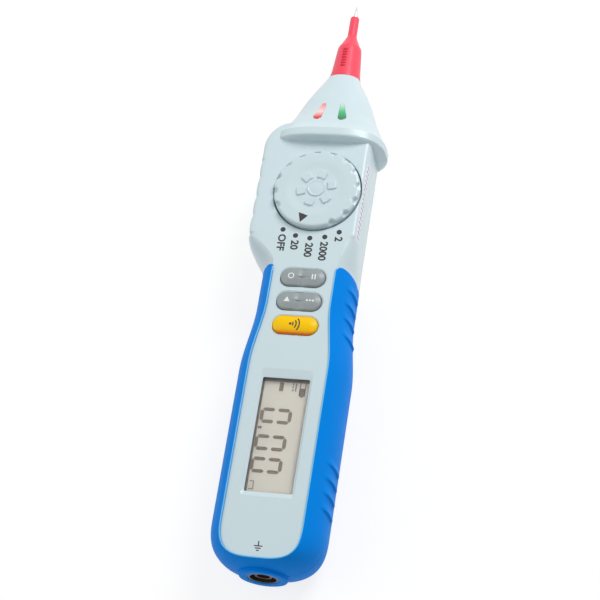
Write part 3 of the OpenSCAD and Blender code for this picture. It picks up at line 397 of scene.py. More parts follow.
def build_groups():
    """Shared effects: a moulded surface with fine grain, cloudy tone and handling wear, and a
    turned metal surface with fine rings."""
    if "moulded_surface" in bpy.data.node_groups:
        return
    colour, number = "NodeSocketColor", "NodeSocketFloat"
    results = [("Colour", colour), ("Roughness", number), ("Height", number)]
    group, into, out = node_group(
        "moulded_surface",
        [("Colour", colour, None), ("Tone", number, 0.04), ("Roughness", number, 0.4),
         ("Roughness spread", number, 0.1), ("Grain scale", number, 2600.0), ("Grain depth", number, 0.5)],
        results)
    given, place_ = into.outputs, object_place(group)
    level = centred(group, noise(group, place_, 70.0, 3.0, 0.55), given["Tone"], 1.0)
    toned = wire(group, "ShaderNodeVectorMath", {0: given["Colour"], 1: level}, operation="MULTIPLY")
    rough = centred(group, noise(group, place_, 420.0, 5.0, 0.65), given["Roughness spread"], given["Roughness"])
    grain = noise(group, place_, given["Grain scale"], 2.0)
    group.links.new(toned.outputs[0], out.inputs["Colour"])
    group.links.new(rough, out.inputs["Roughness"])
    group.links.new(math_node(group, "MULTIPLY", grain, given["Grain depth"]), out.inputs["Height"])

    group, into, out = node_group(
        "turned_metal",
        [("Colour", colour, None), ("Tarnish colour", colour, None), ("Tarnish", number, 0.3),
         ("Roughness", number, 0.22)],
        results)
    given, place_ = into.outputs, object_place(group)
    stretched = wire(group, "ShaderNodeMapping", {"Vector": place_, "Scale": (300.0, 9000.0, 300.0)})
    rings = noise(group, stretched.outputs[0], 1.0, 3.0)
    mask = map_range(group, noise(group, place_, 350.0, 5.0), 0.45, 0.75, 0.0, given["Tarnish"])
    rough = math_node(group, "ADD", math_node(group, "MULTIPLY", rings, 0.16), given["Roughness"])
    group.links.new(mix_colours(group, mask, given["Colour"], given["Tarnish colour"]), out.inputs["Colour"])
    group.links.new(rough, out.inputs["Roughness"])
    group.links.new(rings, out.inputs["Height"])


def shader(name):
    """A new material with its Principled shader."""
    material = bpy.data.materials.new(name)
    material.use_nodes = True
    return material, material.node_tree, material.node_tree.nodes["Principled BSDF"]


def bump(tree, bsdf, height, strength, distance=0.00005):
    """Feeds a height through a Bump node into the shader's normal."""
    node = wire(tree, "ShaderNodeBump", {"Height": height, "Strength": strength, "Distance": distance})
    tree.links.new(node.outputs["Normal"], bsdf.inputs["Normal"])
    return node


def use_group(tree, bsdf, group_name, values, strength, distance):
    """Puts a shared effect into a material with its own values, and feeds the shader from it."""
    build_groups()
    group = wire(tree, "ShaderNodeGroup", node_tree=bpy.data.node_groups[group_name])
    for key, value in values.items():
        group.inputs[key].default_value = value
    tree.links.new(group.outputs["Colour"], bsdf.inputs["Base Color"])
    tree.links.new(group.outputs["Roughness"], bsdf.inputs["Roughness"])
    bump(tree, bsdf, group.outputs["Height"], strength, distance)
    return group


def moulded(name, colour, roughness=0.4, spread=0.12, tone=0.05, grain=2600.0, depth=1.0, coat=0.0, specular=0.5):
    """Moulded plastic or rubber from the shared surface group."""
    if name in bpy.data.materials:
        return bpy.data.materials[name]
    material, tree, bsdf = shader(name)
    use_group(tree, bsdf, "moulded_surface",
              {"Colour": (*colour, 1.0), "Tone": tone, "Roughness": roughness, "Roughness spread": spread,
               "Grain scale": grain, "Grain depth": 1.0}, depth * 0.25, 0.00004)
    bsdf.inputs["Coat Weight"].default_value = coat
    bsdf.inputs["Coat Roughness"].default_value = 0.08
    bsdf.inputs["Specular IOR Level"].default_value = specular
    return material


def metal(name, colour, tarnish_colour, tarnish=0.3, roughness=0.2):
    """Metal with fine rings and patches of tarnish, from the shared metal group."""
    if name in bpy.data.materials:
        return bpy.data.materials[name]
    material, tree, bsdf = shader(name)
    use_group(tree, bsdf, "turned_metal",
              {"Colour": (*colour, 1.0), "Tarnish colour": (*tarnish_colour, 1.0), "Tarnish": tarnish,
               "Roughness": roughness}, 0.12, 0.00002)
    bsdf.inputs["Metallic"].default_value = 1.0
    return material


def brass_finish():
    return metal("plain brass", (0.80, 0.58, 0.27), (0.45, 0.28, 0.12), tarnish=0.4)


def spring_finish():
    return metal("spring steel", (0.66, 0.66, 0.67), (0.3, 0.28, 0.25), tarnish=0.2)


def clear_window(name):
    """Clear polished plastic that lets light reach what lies under it."""
    material, tree, bsdf = shader(name)
    bsdf.inputs["Base Color"].default_value = (0.95, 0.97, 0.97, 1.0)
    bsdf.inputs["Transmission Weight"].default_value = 1.0
    bsdf.inputs["IOR"].default_value = 1.49
    smear = noise(tree, object_place(tree), 260.0, 4.0)
    tree.links.new(map_range(tree, smear, 0.0, 1.0, 0.01, 0.05), bsdf.inputs["Roughness"])
    clear = wire(tree, "ShaderNodeBsdfTransparent")
    path = wire(tree, "ShaderNodeLightPath")
    mix = wire(tree, "ShaderNodeMixShader",
               {0: path.outputs["Is Shadow Ray"], 1: bsdf.outputs[0], 2: clear.outputs[0]})
    tree.links.new(mix.outputs[0], tree.nodes["Material Output"].inputs["Surface"])
    return material


def lens_painted_light_finish(name, low, middle, high, y0, y1):
    """Tinted clear plastic over its lamp: colours run along the window from its lower end up, darker at the lower end
    as painted shade and pale in one band as a painted highlight.
    """
    material, tree, bsdf = shader(name)
    place_ = object_place(tree)
    axes = wire(tree, "ShaderNodeSeparateXYZ", {0: place_})
    # The ramp paints shade at the window's lower end and a highlight in its palest band.
    ramp = wire(tree, "ShaderNodeValToRGB", {0: map_range(tree, axes.outputs["Y"], y0 * MM, y1 * MM)})
    ramp.color_ramp.elements[0].color = (*low, 1.0)
    ramp.color_ramp.elements[0].position = 0.16
    ramp.color_ramp.elements[1].color = (*high, 1.0)
    ramp.color_ramp.elements.new(0.52).color = (*middle, 1.0)
    cells = noise(tree, place_, 900.0, 2.0)
    tree.links.new(ramp.outputs[0], bsdf.inputs["Base Color"])
    tree.links.new(map_range(tree, cells, 0.0, 1.0, 0.08, 0.2), bsdf.inputs["Roughness"])
    bump(tree, bsdf, cells, 0.15)
    bsdf.inputs["Coat Weight"].default_value = 0.6
    bsdf.inputs["Coat Roughness"].default_value = 0.05
    return material


def ink(name, colour):
    """Printed ink: rough, with a fine grain."""
    return moulded(name, colour, roughness=0.55, spread=0.2, tone=0.12, grain=5200.0, depth=0.6)


def shell_finish():
    return moulded("pale shell plastic", colours().shell, roughness=0.36, spread=0.14, tone=0.035, grain=3000.0,
                   depth=0.8, coat=0.12)


def grip_finish():
    return moulded("blue grip rubber", colours().grip, roughness=0.5, spread=0.1, tone=0.06, grain=2400.0,
                   specular=0.05)


# ---------------------------------------------------------------- the outline of the housing

def scallop(y):
    """Depth of the scallops in the head's left edge: a power of the distance from each one's middle."""
    u = (y - SCALLOP_Y) / SCALLOP_PITCH
    wave = SCALLOP_DEPTH * np.abs(2 * (u - np.floor(u)) - 1) ** 2.5
    return np.where((u < 0) | (u > SCALLOP_COUNT), 0.0, wave)


def narrow(y):
    """Half width on the parting line along the grip, eased from the waist to the handle."""
    return lerp(WAIST_W, HANDLE_W, smooth((WAIST_Y - y) / (WAIST_Y - SWELL_Y))) / 2


def panel_half(y):
    """Half width of the pale panel, eased in the same way."""
    return lerp(PANEL_WAIST_W, PANEL_W, smooth((WAIST_Y - y) / (WAIST_Y - SWELL_Y))) / 2


def side_half(side, y):
    """Half width on the parting line: the waist widens into the handle below and into the head above."""
    if side > 0:
        return np.where(y > GRIP_Y, lerp(narrow(GRIP_Y), HEAD_RIGHT, smooth((y - GRIP_Y) / BULGE_RUN)), narrow(y))
    return lerp(narrow(y), HEAD_LEFT - scallop(y), smooth((y - BULGE_Y) / BULGE_RUN))


def side_columns(side, y, head):
    """Columns of one side: [parting x, y, face x, y, back x, y, power, arc share] at each y."""
    y = np.asarray(y, float)
    w = side_half(side, y)
    b = smooth((y - GRIP_Y) / BULGE_RUN) if head else np.zeros_like(y)
    q = lerp(panel_half(np.minimum(y, GRIP_Y)) + (0.15 if head else 0.0), w - HEAD_EDGE, b)
    return np.stack([side * w, y, side * q, y, side * (w - BACK_INSET), y, lerp(2.0, 5.0, b), lerp(0.77, 1.0, b)], -1)


def end_columns(degrees):
    """Columns round the handle's end: three superellipses, for the parting line, the panel and the back."""
    a = np.radians(np.asarray(degrees, float))
    c, s = np.cos(a), np.sin(a)
    one = np.ones_like(a)
    return np.stack([HANDLE_W / 2 * power(c, 2 / 2.8), ROUND_Y - ROUND_L * power(s, 2 / 2.8),
                     PANEL_W / 2 * power(c, 2 / 3.4), ROUND_Y - (ROUND_L - PANEL_END) * power(s, 2 / 3.4),
                     (HANDLE_W / 2 - BACK_INSET) * power(c, 2 / 2.6),
                     ROUND_Y - (ROUND_L - BACK_END) * power(s, 2 / 2.6), 2 * one, 0.77 * one], -1)


def shoulder_columns(degrees):
    """Columns round the head's left shoulder: quarter circles about one centre."""
    a = np.radians(np.asarray(degrees, float))
    cx, cy = SHOULDER - HEAD_LEFT, HEAD_TOP_Y - SHOULDER
    c, s, one = np.cos(a), np.sin(a), np.ones_like(a)
    return np.stack([cx - SHOULDER * c, cy + SHOULDER * s, cx - (SHOULDER - HEAD_EDGE) * c,
                     cy + SHOULDER * s, cx - (SHOULDER - BACK_INSET) * c, cy + SHOULDER * s, 5 * one, one], -1)


def grip_columns(step=0.3, top=GRIP_Y):
    """Columns down the grip's right side, round its end and up its left side."""
    run = np.linspace(top, ROUND_Y, int((top - ROUND_Y) / step) + 1)
    return np.concatenate([side_columns(1, run, False), end_columns(np.linspace(2, 178, 89)),
                           side_columns(-1, run[::-1], False)])


def rib(y):
    """Rib height share along the grip: a gentle rise towards the handle's end, then a quick fall."""
    d = np.asarray(y, float)[..., None] - np.array(RIB_YS)
    rise = np.where(d >= 0, np.clip(1 - d / 3.2, 0, 1) ** 1.4, np.clip(1 + d / 0.5, 0, 1))
    return smooth(rise.max(-1))


def inner(c):
    """The parting line's points moved in by the grip's thickness."""
    d = c[:, 0:2] - c[:, 2:4]
    n = np.linalg.norm(d, axis=1, keepdims=True)
    return c[:, 0:2] - d * np.minimum(1.0, GRIP_T / n)


def arc_end(c):
    """The turn at which the edge's arc reaches the face."""
    return np.arcsin(c[:, 7] ** (c[:, 6] / 2))


def way_in(c, turn):
    """Share of the way in at a turn of the edge's arc: what its cosine's power has lost, of all
    that it loses up to the face."""
    fall = 2 / c[:, 6]
    return (1 - np.clip(np.cos(turn), 0, 1) ** fall) / (1 - np.clip(np.cos(arc_end(c)), 0, 1) ** fall)


def front_arc(c, t):
    """At share t of the edge's arc: the share of the height and the share of the way in."""
    turn = arc_end(c) * t
    return np.sin(turn) ** (2 / c[:, 6]) / c[:, 7], way_in(c, turn)


def back_arc(t):
    """At share t of the back edge's quarter superellipse: the shares of the height and of the way in."""
    turn = math.pi / 2 * t
    return math.sin(turn) ** (2 / 2.2), 1 - max(math.cos(turn), 0.0) ** (2 / 2.2)


def edge_arc(front, c, t):
    """The front edge's arc, or the back edge's."""
    return front_arc(c, t) if front else back_arc(t)


def point(p, q, share, z):
    """Points between p and q at the given share of the way, at height z."""
    share = np.broadcast_to(np.asarray(share, float), (len(p),))[:, None]
    z = np.broadcast_to(np.asarray(z, float), (len(p),))[:, None]
    return np.concatenate([lerp(p, q, share), z], 1)


def length(v):
    """Length of each vector, and never under a tenth."""
    return np.maximum(np.linalg.norm(v, axis=1), 0.1)


def past(p, q, extra):
    """Share of the way from p to q that ends the given distance beyond q."""
    return 1 + extra / length(q - p)


# ---------------------------------------------------------------- shells and grips

LEVELS = np.linspace(0, 1, 19)
GROOVE = 0.25


def seam():
    """Half the width of the parting line's groove, in millimetres."""
    return sizes().seam_width / MM / 2


SCALLOPS_END = SCALLOP_Y + SCALLOP_PITCH * SCALLOP_COUNT
JOINT_Y = GRIP_Y - 1.8


def housing_columns():
    """Columns round a housing: down the head's right side, round the grip's core, up the left side."""
    right = np.concatenate([np.linspace(HEAD_RIGHT_TOP, 8, 30), np.linspace(7.4, JOINT_Y, 30)])
    left = np.concatenate([np.linspace(JOINT_Y, SCALLOP_Y, 28)[:-1], np.linspace(SCALLOP_Y, SCALLOPS_END, 113),
                           np.linspace(SCALLOPS_END, HEAD_TOP_Y - SHOULDER, 8)[1:]])
    return (side_columns(1, right, True), grip_columns(1.0, JOINT_Y),
            np.concatenate([side_columns(-1, left, True), shoulder_columns(np.linspace(5, 90, 18))]))


def housing_rings(front):
    """Rings of a housing from the parting line to its face or its flat back: the head keeps its
    full width, and along the grip the shell lies in by the grip's thickness."""
    right, grip, left = housing_columns()
    core = inner(grip)
    way = 1 if front else -1
    far = slice(2, 4) if front else slice(4, 6)
    face, rim = (FACE_Z, FACE_Z - GRIP_RIM_T) if front else (0.0, GRIP_RIM_T)

    def ring(t, gap, dip=0.0):
        start, out = PARTING_Z + way * gap, []
        for c in (right, grip, left):
            s, share = edge_arc(front, c, t)
            if c is grip:
                out.append(point(core, c[:, far], share, lerp(start, rim, s)))
            else:
                moved = share + (1 - share) * dip / length(c[:, far] - c[:, :2])
                out.append(point(c[:, :2], c[:, far], moved, lerp(start, face, s)))
        return np.concatenate(out)

    def cap(extra, low):
        head = [point(c[:, :2], c[:, far], past(c[:, :2], c[:, far], extra), face) for c in (right, left)]
        panel = point(core, grip[:, far], past(core, grip[:, far], max(extra - 0.1, 0.0)), face - way * low)
        return np.concatenate([head[0], panel, head[1]])

    rings = [ring(0.0, 0.0, GROOVE)] + [ring(t, seam()) for t in LEVELS]
    return rings + [cap(0.05, 0.18), cap(0.3, 0.0), cap(0.6, 0.0)]


GUARD_TABLE = np.array([(0, 0.80, 0.74), (0.04, 0.88, 0.85), (0.1, 0.935, 0.93), (0.2, 0.98, 0.98),
                        (0.32, 1, 1), (0.6, 1.0, 1.0), (0.88, 1, 1)])
NOSE_TABLE = np.array([(0, 1, 1, 1, 2.9), (0.1, 0.905, 0.87, 0.94, 2.8), (0.21, 0.825, 0.77, 0.885, 2.65),
                       (0.32, 0.745, 0.685, 0.82, 2.5), (0.43, 0.68, 0.62, 0.765, 2.4),
                       (0.54, 0.615, 0.56, 0.71, 2.3), (0.65, 0.54, 0.49, 0.65, 2.2),
                       (0.76, 0.45, 0.42, 0.58, 2.1), (0.88, 0.345, 0.335, 0.51, 2.05),
                       (1.0, 0.262, 0.25, 0.44, 2.0)])
GUARD_HALF, GUARD_T, NOSE_L = 18.9, 3.6, 28.8


def nose_stations(front):
    """Along the guard and nose: [y, half width, rise from the parting line, power]."""
    rise = TOP_Z - PARTING_Z if front else PARTING_Z
    share = np.array([0, 0.02, 0.05, 0.1, 0.16, 0.24, 0.34, 0.5, 0.7, 0.88])
    guard = np.stack([GUARD_Y + share * GUARD_T, GUARD_HALF * np.interp(share, GUARD_TABLE[:, 0], GUARD_TABLE[:, 1]),
                      rise * np.interp(share, GUARD_TABLE[:, 0], GUARD_TABLE[:, 2]), np.full(len(share), 2.9)], -1)
    share = np.linspace(0, 1, 61)
    end_rise = (AXIS_Z + 4.95 - PARTING_Z if front else PARTING_Z - AXIS_Z + 4.95) / rise
    table = NOSE_TABLE.copy()
    table[-1, 2 if front else 3] = end_rise
    nose = np.stack([NOSE_Y + share * NOSE_L, GUARD_HALF * curve(share, table[:, 0], table[:, 1]),
                     rise * curve(share, table[:, 0], table[:, 2 if front else 3]),
                     curve(share, table[:, 0], table[:, 4])], -1)
    return np.concatenate([guard, nose])


def nose_top(x, y):
    """Height of the nose's upper surface over a place."""
    table = nose_stations(True)[10:]
    w, rise, p = (np.interp(y, table[:, 0], table[:, k]) for k in (1, 2, 3))
    return PARTING_Z + rise * (1 - np.clip(np.abs(x / w), 0, 1) ** p) ** (1 / p)


def nose_solid(front):
    """Half of the guard and nose: superellipses set along the probe axis, cut at the parting line."""
    turn = np.linspace(0, math.pi, 97)
    gap = seam()
    rings = []
    for y, w, rise, p in nose_stations(front):
        e = 2 / p if front else 1.0
        x = w * power(np.cos(turn), e)
        z = gap + (rise - gap) * power(np.sin(turn), e)
        x = np.concatenate([[w - GROOVE], x, [GROOVE - w]])
        z = np.concatenate([[0.0], z, [0.0]])
        rings.append(np.stack([x, np.full_like(x, y), PARTING_Z + (z if front else -z)], -1))
    return loft("nose", rings)


SCREWS = ((-12.5, 37.0), (7.0, 38.5), (8.8, -91.5), (-8.8, -91.5))
POSTS = ((11.0, 7.0), (-15.0, 8.0), (8.0, -35.0), (-8.0, -35.0))


def peg(name, x, y, r, z0, z1, steps=48):
    """Round bar along z."""
    return turned(name, [(r, z0), (r, z1)], (x, y, 0), "z", steps)


def nose_room():
    """Hollow of the nose: a rectangle joined to a smaller one."""
    a = np.array([(-13, 44.0, 3.8), (13, 44.0, 3.8), (13, 44.0, 21.8), (-13, 44.0, 21.8)])
    b = np.array([(-6, 64.0, 7.8), (6, 64.0, 7.8), (6, 64.0, 17.8), (-6, 64.0, 17.8)])
    return loft("nose_room", [a, b])


def teardrop(side, extra=0.0, steps=72):
    """Outline round two circles of different size, from the far point of the pair in each direction."""
    turn = np.linspace(0, 2 * math.pi, steps, endpoint=False)
    n = np.stack([np.cos(turn), np.sin(turn)], -1)
    a, ra = np.array([side * 3.1, NOSE_Y + 12.1]), 0.7 + extra
    b, rb = np.array([side * 4.15, NOSE_Y + 6.2]), 1.4 + extra
    far = (n @ a + ra) > (n @ b + rb)
    return np.where(far[:, None], a + ra * n, b + rb * n)


def window_cutter():
    """The window's opening with its sloping surround and the seat of the clear window behind it."""
    def outline(side, low, high, r):
        return round_box(-WINDOW_HALF - side, WINDOW_HALF + side, WINDOW_LOW - low, WINDOW_HIGH + high, r)
    throat, brim, ledge = outline(0, 0, 0, 0.5), outline(1.0, 1.75, 3.05, 1.3), outline(1.4, 1.4, 1.4, 0.6)
    through = [(throat, 19.0), (throat, FACE_Z - 0.72), (outline(0.06, 0.1, 0.16, 0.55), FACE_Z - 0.64),
               (outline(0.84, 1.5, 2.7, 1.2), FACE_Z - 0.05), (brim, FACE_Z + 0.02), (brim, FACE_Z + 1)]
    return [tower("opening", through), tower("seat", [(ledge, 19.0), (ledge, FACE_Z - 0.9)])]


def key_cutter(y):
    """A key's hole: wide below for the key's skirt, with a faint chamfer at the face."""
    r = KEY_R + 0.14
    layers = [(r + 0.56, 20.0), (r + 0.56, 22.6), (r, 22.9), (r, FACE_Z - 0.3), (r + 0.08, FACE_Z - 0.17),
              (r + 0.3, FACE_Z - 0.12), (r + 0.42, FACE_Z - 0.02), (r + 0.44, FACE_Z + 0.02), (r + 0.44, FACE_Z + 1.0)]
    return tower("key_cutter", [(oblong(KEY_RUN, radius, (0, y)), z) for radius, z in layers])


def dial_cutter():
    """The dial's well with a soft rim, and the hole of its shaft."""
    profile = [(0, FACE_Z - 3.1), (0, FACE_Z - 0.3), (0.08, FACE_Z - 0.12), (0.25, FACE_Z + 0.02), (0.25, FACE_Z + 1)]
    return [turned("well", [(WELL_R + wider, z) for wider, z in profile], (0, DIAL_Y, 0), "z", 180),
            peg("shaft_hole", 0, DIAL_Y, 6.05, 19.0, 23.0, 72)]


# Rooms and walls inside the housings as x, y and z ranges.
FRONT_ROOMS = ((-12.9, 12.9, -94, -39, 13, 19.5), (-11.2, 11.2, -94, -39, 19, 23),
               (-10.65, 10.65, -40, 3.5, 13, 19.5), (-9.3, 9.3, -40, 3.5, 19, 23), (-8, 8, -99, -93, 13, 19.5),
               (-17.7, 13.1, 2.5, 44, 13, 23))
REAR_ROOMS = ((-10.7, 10.7, -82.1, -34.8, -1, 15), (-10.9, 10.9, -86.65, -30.25, -1, 2.0),
              (-10.7, 10.7, -94, -29.9, 3.6, 15), (-9, 9, -94.5, -87.35, 1.9, 15), (-8, 8, -99, -93, 6, 15),
              (-9.8, 9.8, -39, 4.5, 3.6, 15), (-8.2, 8.2, -29.3, 4.5, 1.9, 15), (-17.4, 12.4, 3.5, 44, 6, 15),
              (-15.5, 10.4, 3.5, 40, 1.9, 15))
REAR_WALLS = ((-9, 9, -96, -94.5, 1.8, 14), (-10.75, 10.75, -34.8, -33.4, 2, 7.6),
              (-10.75, 10.75, -83.5, -82.1, 2, 7.6))
COVER_SCREWS = (-84.2, -32.7)
BOSS_R, POST_R, ROOF_Z, BASE_Z, SOCKET_R = 2.8, 1.2, 23.4, 1.8, 4.9


def build_housing(front, rooms, added, cuts):
    """Body and nose made one, hollowed, given its bosses and walls, and then cut."""
    body = loft("front_shell" if front else "rear_shell", housing_rings(front))
    combine(body, [nose_solid(front)], "UNION")
    combine(body, [block("room", *room) for room in rooms] + [nose_room()])
    combine(body, added, "UNION")
    cuts += [rod("spigot", 63, 75, 3.1), rod("socket", -105, -83.4, SOCKET_R), block("end", -7, 7, SLEEVE_Y, 76, 5, 21)]
    combine(body, cuts)
    clean(body, shell_finish())
    return place(body, "case", "front_housing" if front else "rear_housing", slot="pale_shell")


def build_front_shell():
    """Front housing with its bosses, posts, cradle, dial well and openings."""
    added = [peg("boss", x, y, BOSS_R, PARTING_Z, ROOF_Z) for x, y in SCREWS]
    added += [peg("post", x, y, POST_R, 17.5, ROOF_Z) for x, y in POSTS]
    added += [block("cradle", -9, 9, -96, -94.5, PARTING_Z, 20.5),
              peg("well_wall", 0, DIAL_Y, WELL_R + 0.9, 20.9, ROOF_Z, 144)]
    cuts = [peg("pilot", x, y, 0.95, 13, 21) for x, y in SCREWS] + dial_cutter() + window_cutter()
    cuts += [key_cutter(y) for y in KEY_YS]
    cuts += [tower("slot", [(teardrop(side, 0.05), 18.0), (teardrop(side, 0.05), 30.0)]) for side in (-1, 1)]
    build_housing(True, FRONT_ROOMS, added, cuts)


def build_rear_shell():
    """Rear housing with its bosses, posts, battery bay and screw holes."""
    added = [peg("boss", x, y, BOSS_R, BASE_Z, PARTING_Z) for x, y in SCREWS]
    added += [peg("post", x, y, POST_R, BASE_Z, 15.9) for x, y in POSTS[:2]]
    added += [peg("boss", 0, y, 2.0, 2.0, 7.0) for y in COVER_SCREWS] + [block("wall", *wall) for wall in REAR_WALLS]
    cuts = []
    for x, y in SCREWS:
        cuts.append(turned("screw_hole", [(1.25, 1.5), (1.25, 15)], (x, y, 0), "z", 40))
        cuts.append(turned("screw_well", [(2.65, -1), (2.65, -0.02), (2.4, 0.22), (2.4, 2.2)], (x, y, 0), "z", 56))
    cuts += [peg("cover_hole", 0, y, 1.2, -1, 8) for y in COVER_SCREWS]
    build_housing(False, REAR_ROOMS, added, cuts)


GRIP_OUT, RIB_LEAN, BEAD_R = 0.12, 1.25, 0.22
ARCH_RUN = 5.5
ARCH_Z = (0, 3, 8, 14, 17.3, 21.2, 23.8, 25.0, 25.6, 25.9)
ARCH_PAST = (0.6, 0.3, -0.4, -0.8, -0.1, 0.7, 0.95, 0.5, -0.5, -1.1)


def grip_end(z):
    """How far the grip's upper edge lies past its nominal end, at each height: a low arch with a
    round corner."""
    return np.interp(z, ARCH_Z, ARCH_PAST)


def along_sides(c):
    """The columns that lie along the grip's two sides, and not round the handle's end."""
    return c[:, 1] > ROUND_Y - 1e-6


def end_share(c):
    """How far each column shares in the arch of the grip's upper edge."""
    return np.where(along_sides(c), smooth(1 - (GRIP_Y - c[:, 1]) / ARCH_RUN), 0.0)


def grip_solid(front):
    """Each column's section is a closed outline: up the outer skin with its ribs, round the rim,
    and back down the core; the sections follow one another round the handle."""
    c = grip_columns(0.25)
    direct = along_sides(c)
    top = GRIP_Y - c[:, 1]
    ribbed = direct & (c[:, 0] > 0)
    edge = np.where(direct & (top < 0.4), 0.3 * (1 - np.sqrt(np.clip(1 - (1 - top / 0.4) ** 2, 0, 1))), 0.0)
    inward = c[:, 2:4] - c[:, 0:2]
    inward = inward / np.linalg.norm(inward, axis=1, keepdims=True)
    rim = c[:, 2:4] if front else c[:, 4:6]
    core = inner(c)
    near = end_share(c)
    rows = []

    def add(xy, z):
        z = np.broadcast_to(np.asarray(z, float), (len(c),))
        xy = xy.copy()
        xy[:, 1] += near * grip_end(z)
        rows.append(np.concatenate([xy, z[:, None]], 1))

    def skin(share, z, fade):
        lean = RIB_LEAN * np.clip((np.asarray(z, float) - PARTING_Z) / 8, 0, 1)
        ribs = np.where(ribbed, rib(c[:, 1] - lean), 0.0) * sizes().rib_height / MM
        outer = c[:, 0:2] - inward * (GRIP_OUT - edge)[:, None] - inward * (ribs * fade)[:, None]
        xy = lerp(outer, rim, np.broadcast_to(np.asarray(share, float), (len(c),))[:, None])
        xy[:, 1] = np.where(direct, c[:, 1], xy[:, 1])
        add(xy, z)

    skin(GROOVE / 5, PARTING_Z, np.ones(len(c)))
    for t in np.linspace(0, 1, 27):
        if front:
            s, share = front_arc(c, t)
            z = lerp(PARTING_Z + seam(), FACE_Z + GRIP_PROUD - 0.12, s)
            skin(share * 0.93, z, smooth((22.6 - z) / 3.5))
        else:
            s, share = back_arc(t * 0.93)
            z = lerp(PARTING_Z - seam(), 0.0, s)
            skin(share, z, smooth((z - 9.8) / 3.0))
    if front:
        for share, z in ((0.945, 0.04), (0.955, 0.0), (0.967, -0.02), (0.98, -0.14), (0.992, -0.4), (1.0, -0.8)):
            skin(share, FACE_Z + GRIP_PROUD + z, 0.0)
    else:
        for share, z in ((0.97, 0.03), (0.985, 0.0), (0.995, 0.1), (1.0, 0.3)):
            skin(share, z, 0.0)
    for t in np.linspace(1, 0, 12):
        if front:
            s, share = front_arc(c, t)
            xy, z = lerp(core, rim, share[:, None]), lerp(PARTING_Z, FACE_Z - GRIP_RIM_T, s)
        else:
            s, share = back_arc(t)
            xy, z = lerp(core, rim, share), lerp(PARTING_Z, GRIP_RIM_T, s)
        add(xy, z)
    return loft("grip", np.stack(rows, 1))


def build_grip_highlight_bead():
    """Thin bead where the blue skin meets the pale panel: a small round section carried along the edge. Its light cyan
    is a painted highlight on the blue rubber's rounded edge.
    """
    c = grip_columns(0.4)
    edge = c[:, 2:4].copy()
    edge[:, 1] += end_share(c) * grip_end(FACE_Z + 0.4)
    out = c[:, 0:2] - c[:, 2:4]
    out = out / np.linalg.norm(out, axis=1, keepdims=True)
    turn = np.linspace(0, 2 * math.pi, 10, endpoint=False)
    across, z = BEAD_R * np.cos(turn) + 0.12, FACE_Z + GRIP_PROUD - 0.13 + BEAD_R * np.sin(turn)
    rings = np.concatenate([edge[:, None] + across[None, :, None] * out[:, None],
                            np.broadcast_to(z[None, :, None], (len(c), 10, 1))], 2)
    # Light cyan, paler than the grip: a painted highlight on the rubber's edge.
    finish = moulded("grip edge painted highlight", (0.17, 0.60, 0.93), roughness=0.3, spread=0.1, tone=0.08, grain=2600.0, depth=0.5)
    return place(loft("grip_painted_highlight_bead", rings, finish), "case")


def build_grip(front):
    """One half of the blue grip, joined to its half of the socket's collar."""
    name = "front_grip_skin" if front else "rear_grip_skin"
    body = grip_solid(front)
    body.name = body.data.name = name
    profile = [(4.0, -101.0), (4.0, -103.75), (5.3, -103.9), (6.9, -104.0), (7.35, -103.85), (7.6, -103.5),
               (7.6, -101.6)]
    ring = turned("collar", profile, (0, 0, AXIS_Z), "y", 128)
    half = block("half", -9, 9, -105, -100, PARTING_Z if front else -1, 30 if front else PARTING_Z)
    combine(ring, [half], "INTERSECT")
    combine(body, [ring], "UNION")
    combine(body, [rod("socket", -105, -93, SOCKET_R)])
    clean(body, grip_finish())
    return place(body, "case", "front_grip" if front else "rear_grip", slot="blue_grip")


# ---------------------------------------------------------------- dial

POINTER_TURN, FLUTE_PITCH, FLUTES_A_SIDE = math.radians(-106.14), math.radians(22.5), 6
PAD_R, PAD_PITCH, HUB_R = 5.2, math.radians(60), 3.15


def flute_depths(turn):
    """How far the flutes press the rim in at each angle: circles set just outside the rim, their
    edges softened by a bell-shaped mean over the nearest angles."""
    flutes = POINTER_TURN + FLUTE_PITCH * (8 + np.arange(-FLUTES_A_SIDE, FLUTES_A_SIDE + 1))
    off = np.abs((turn[:, None] - flutes + math.pi) % (2 * math.pi) - math.pi)
    far, radius = DIAL_R + 0.2, sizes().flute_radius / MM
    cut = far * np.cos(off) - np.sqrt(np.clip(radius**2 - (far * np.sin(off)) ** 2, 0, None))
    depth = np.where((far * np.sin(off) < radius) & (off < 1), np.clip(DIAL_R - cut, 0, None), 0.0).max(1)
    soft = np.exp(-np.linspace(-2, 2, 9) ** 2)
    return sum(w * np.roll(depth, k) for w, k in zip(soft / soft.sum(), range(-4, 5)))


def pads_and_hub(r, turn):
    """Height of the pads and the hub, as shares of the pad height: round-cornered blocks that
    narrow inwards, one at each sixth of a turn, and a hub with a ring pressed into it."""
    sixth = (turn - POINTER_TURN) / PAD_PITCH
    across = r * np.sin(np.abs(sixth - np.round(sixth)) * PAD_PITCH)
    along = np.abs(r - PAD_R)
    taper = 0.7 + 0.3 * r / PAD_R
    corner = np.hypot(np.clip(across - 0.95 * taper, 0, None), np.clip(along - 0.9, 0, None)) - 0.5
    pad = np.where((across > 0.9) & (along > 0.9), corner, np.maximum(across - 1.45 * taper, along - 1.4))
    hub = smooth((HUB_R - r) / 0.3) - 0.5 * np.exp(-((r - 2.2) / 0.22) ** 2)
    return 1.2 * smooth(0.5 - pad / 0.26) + hub


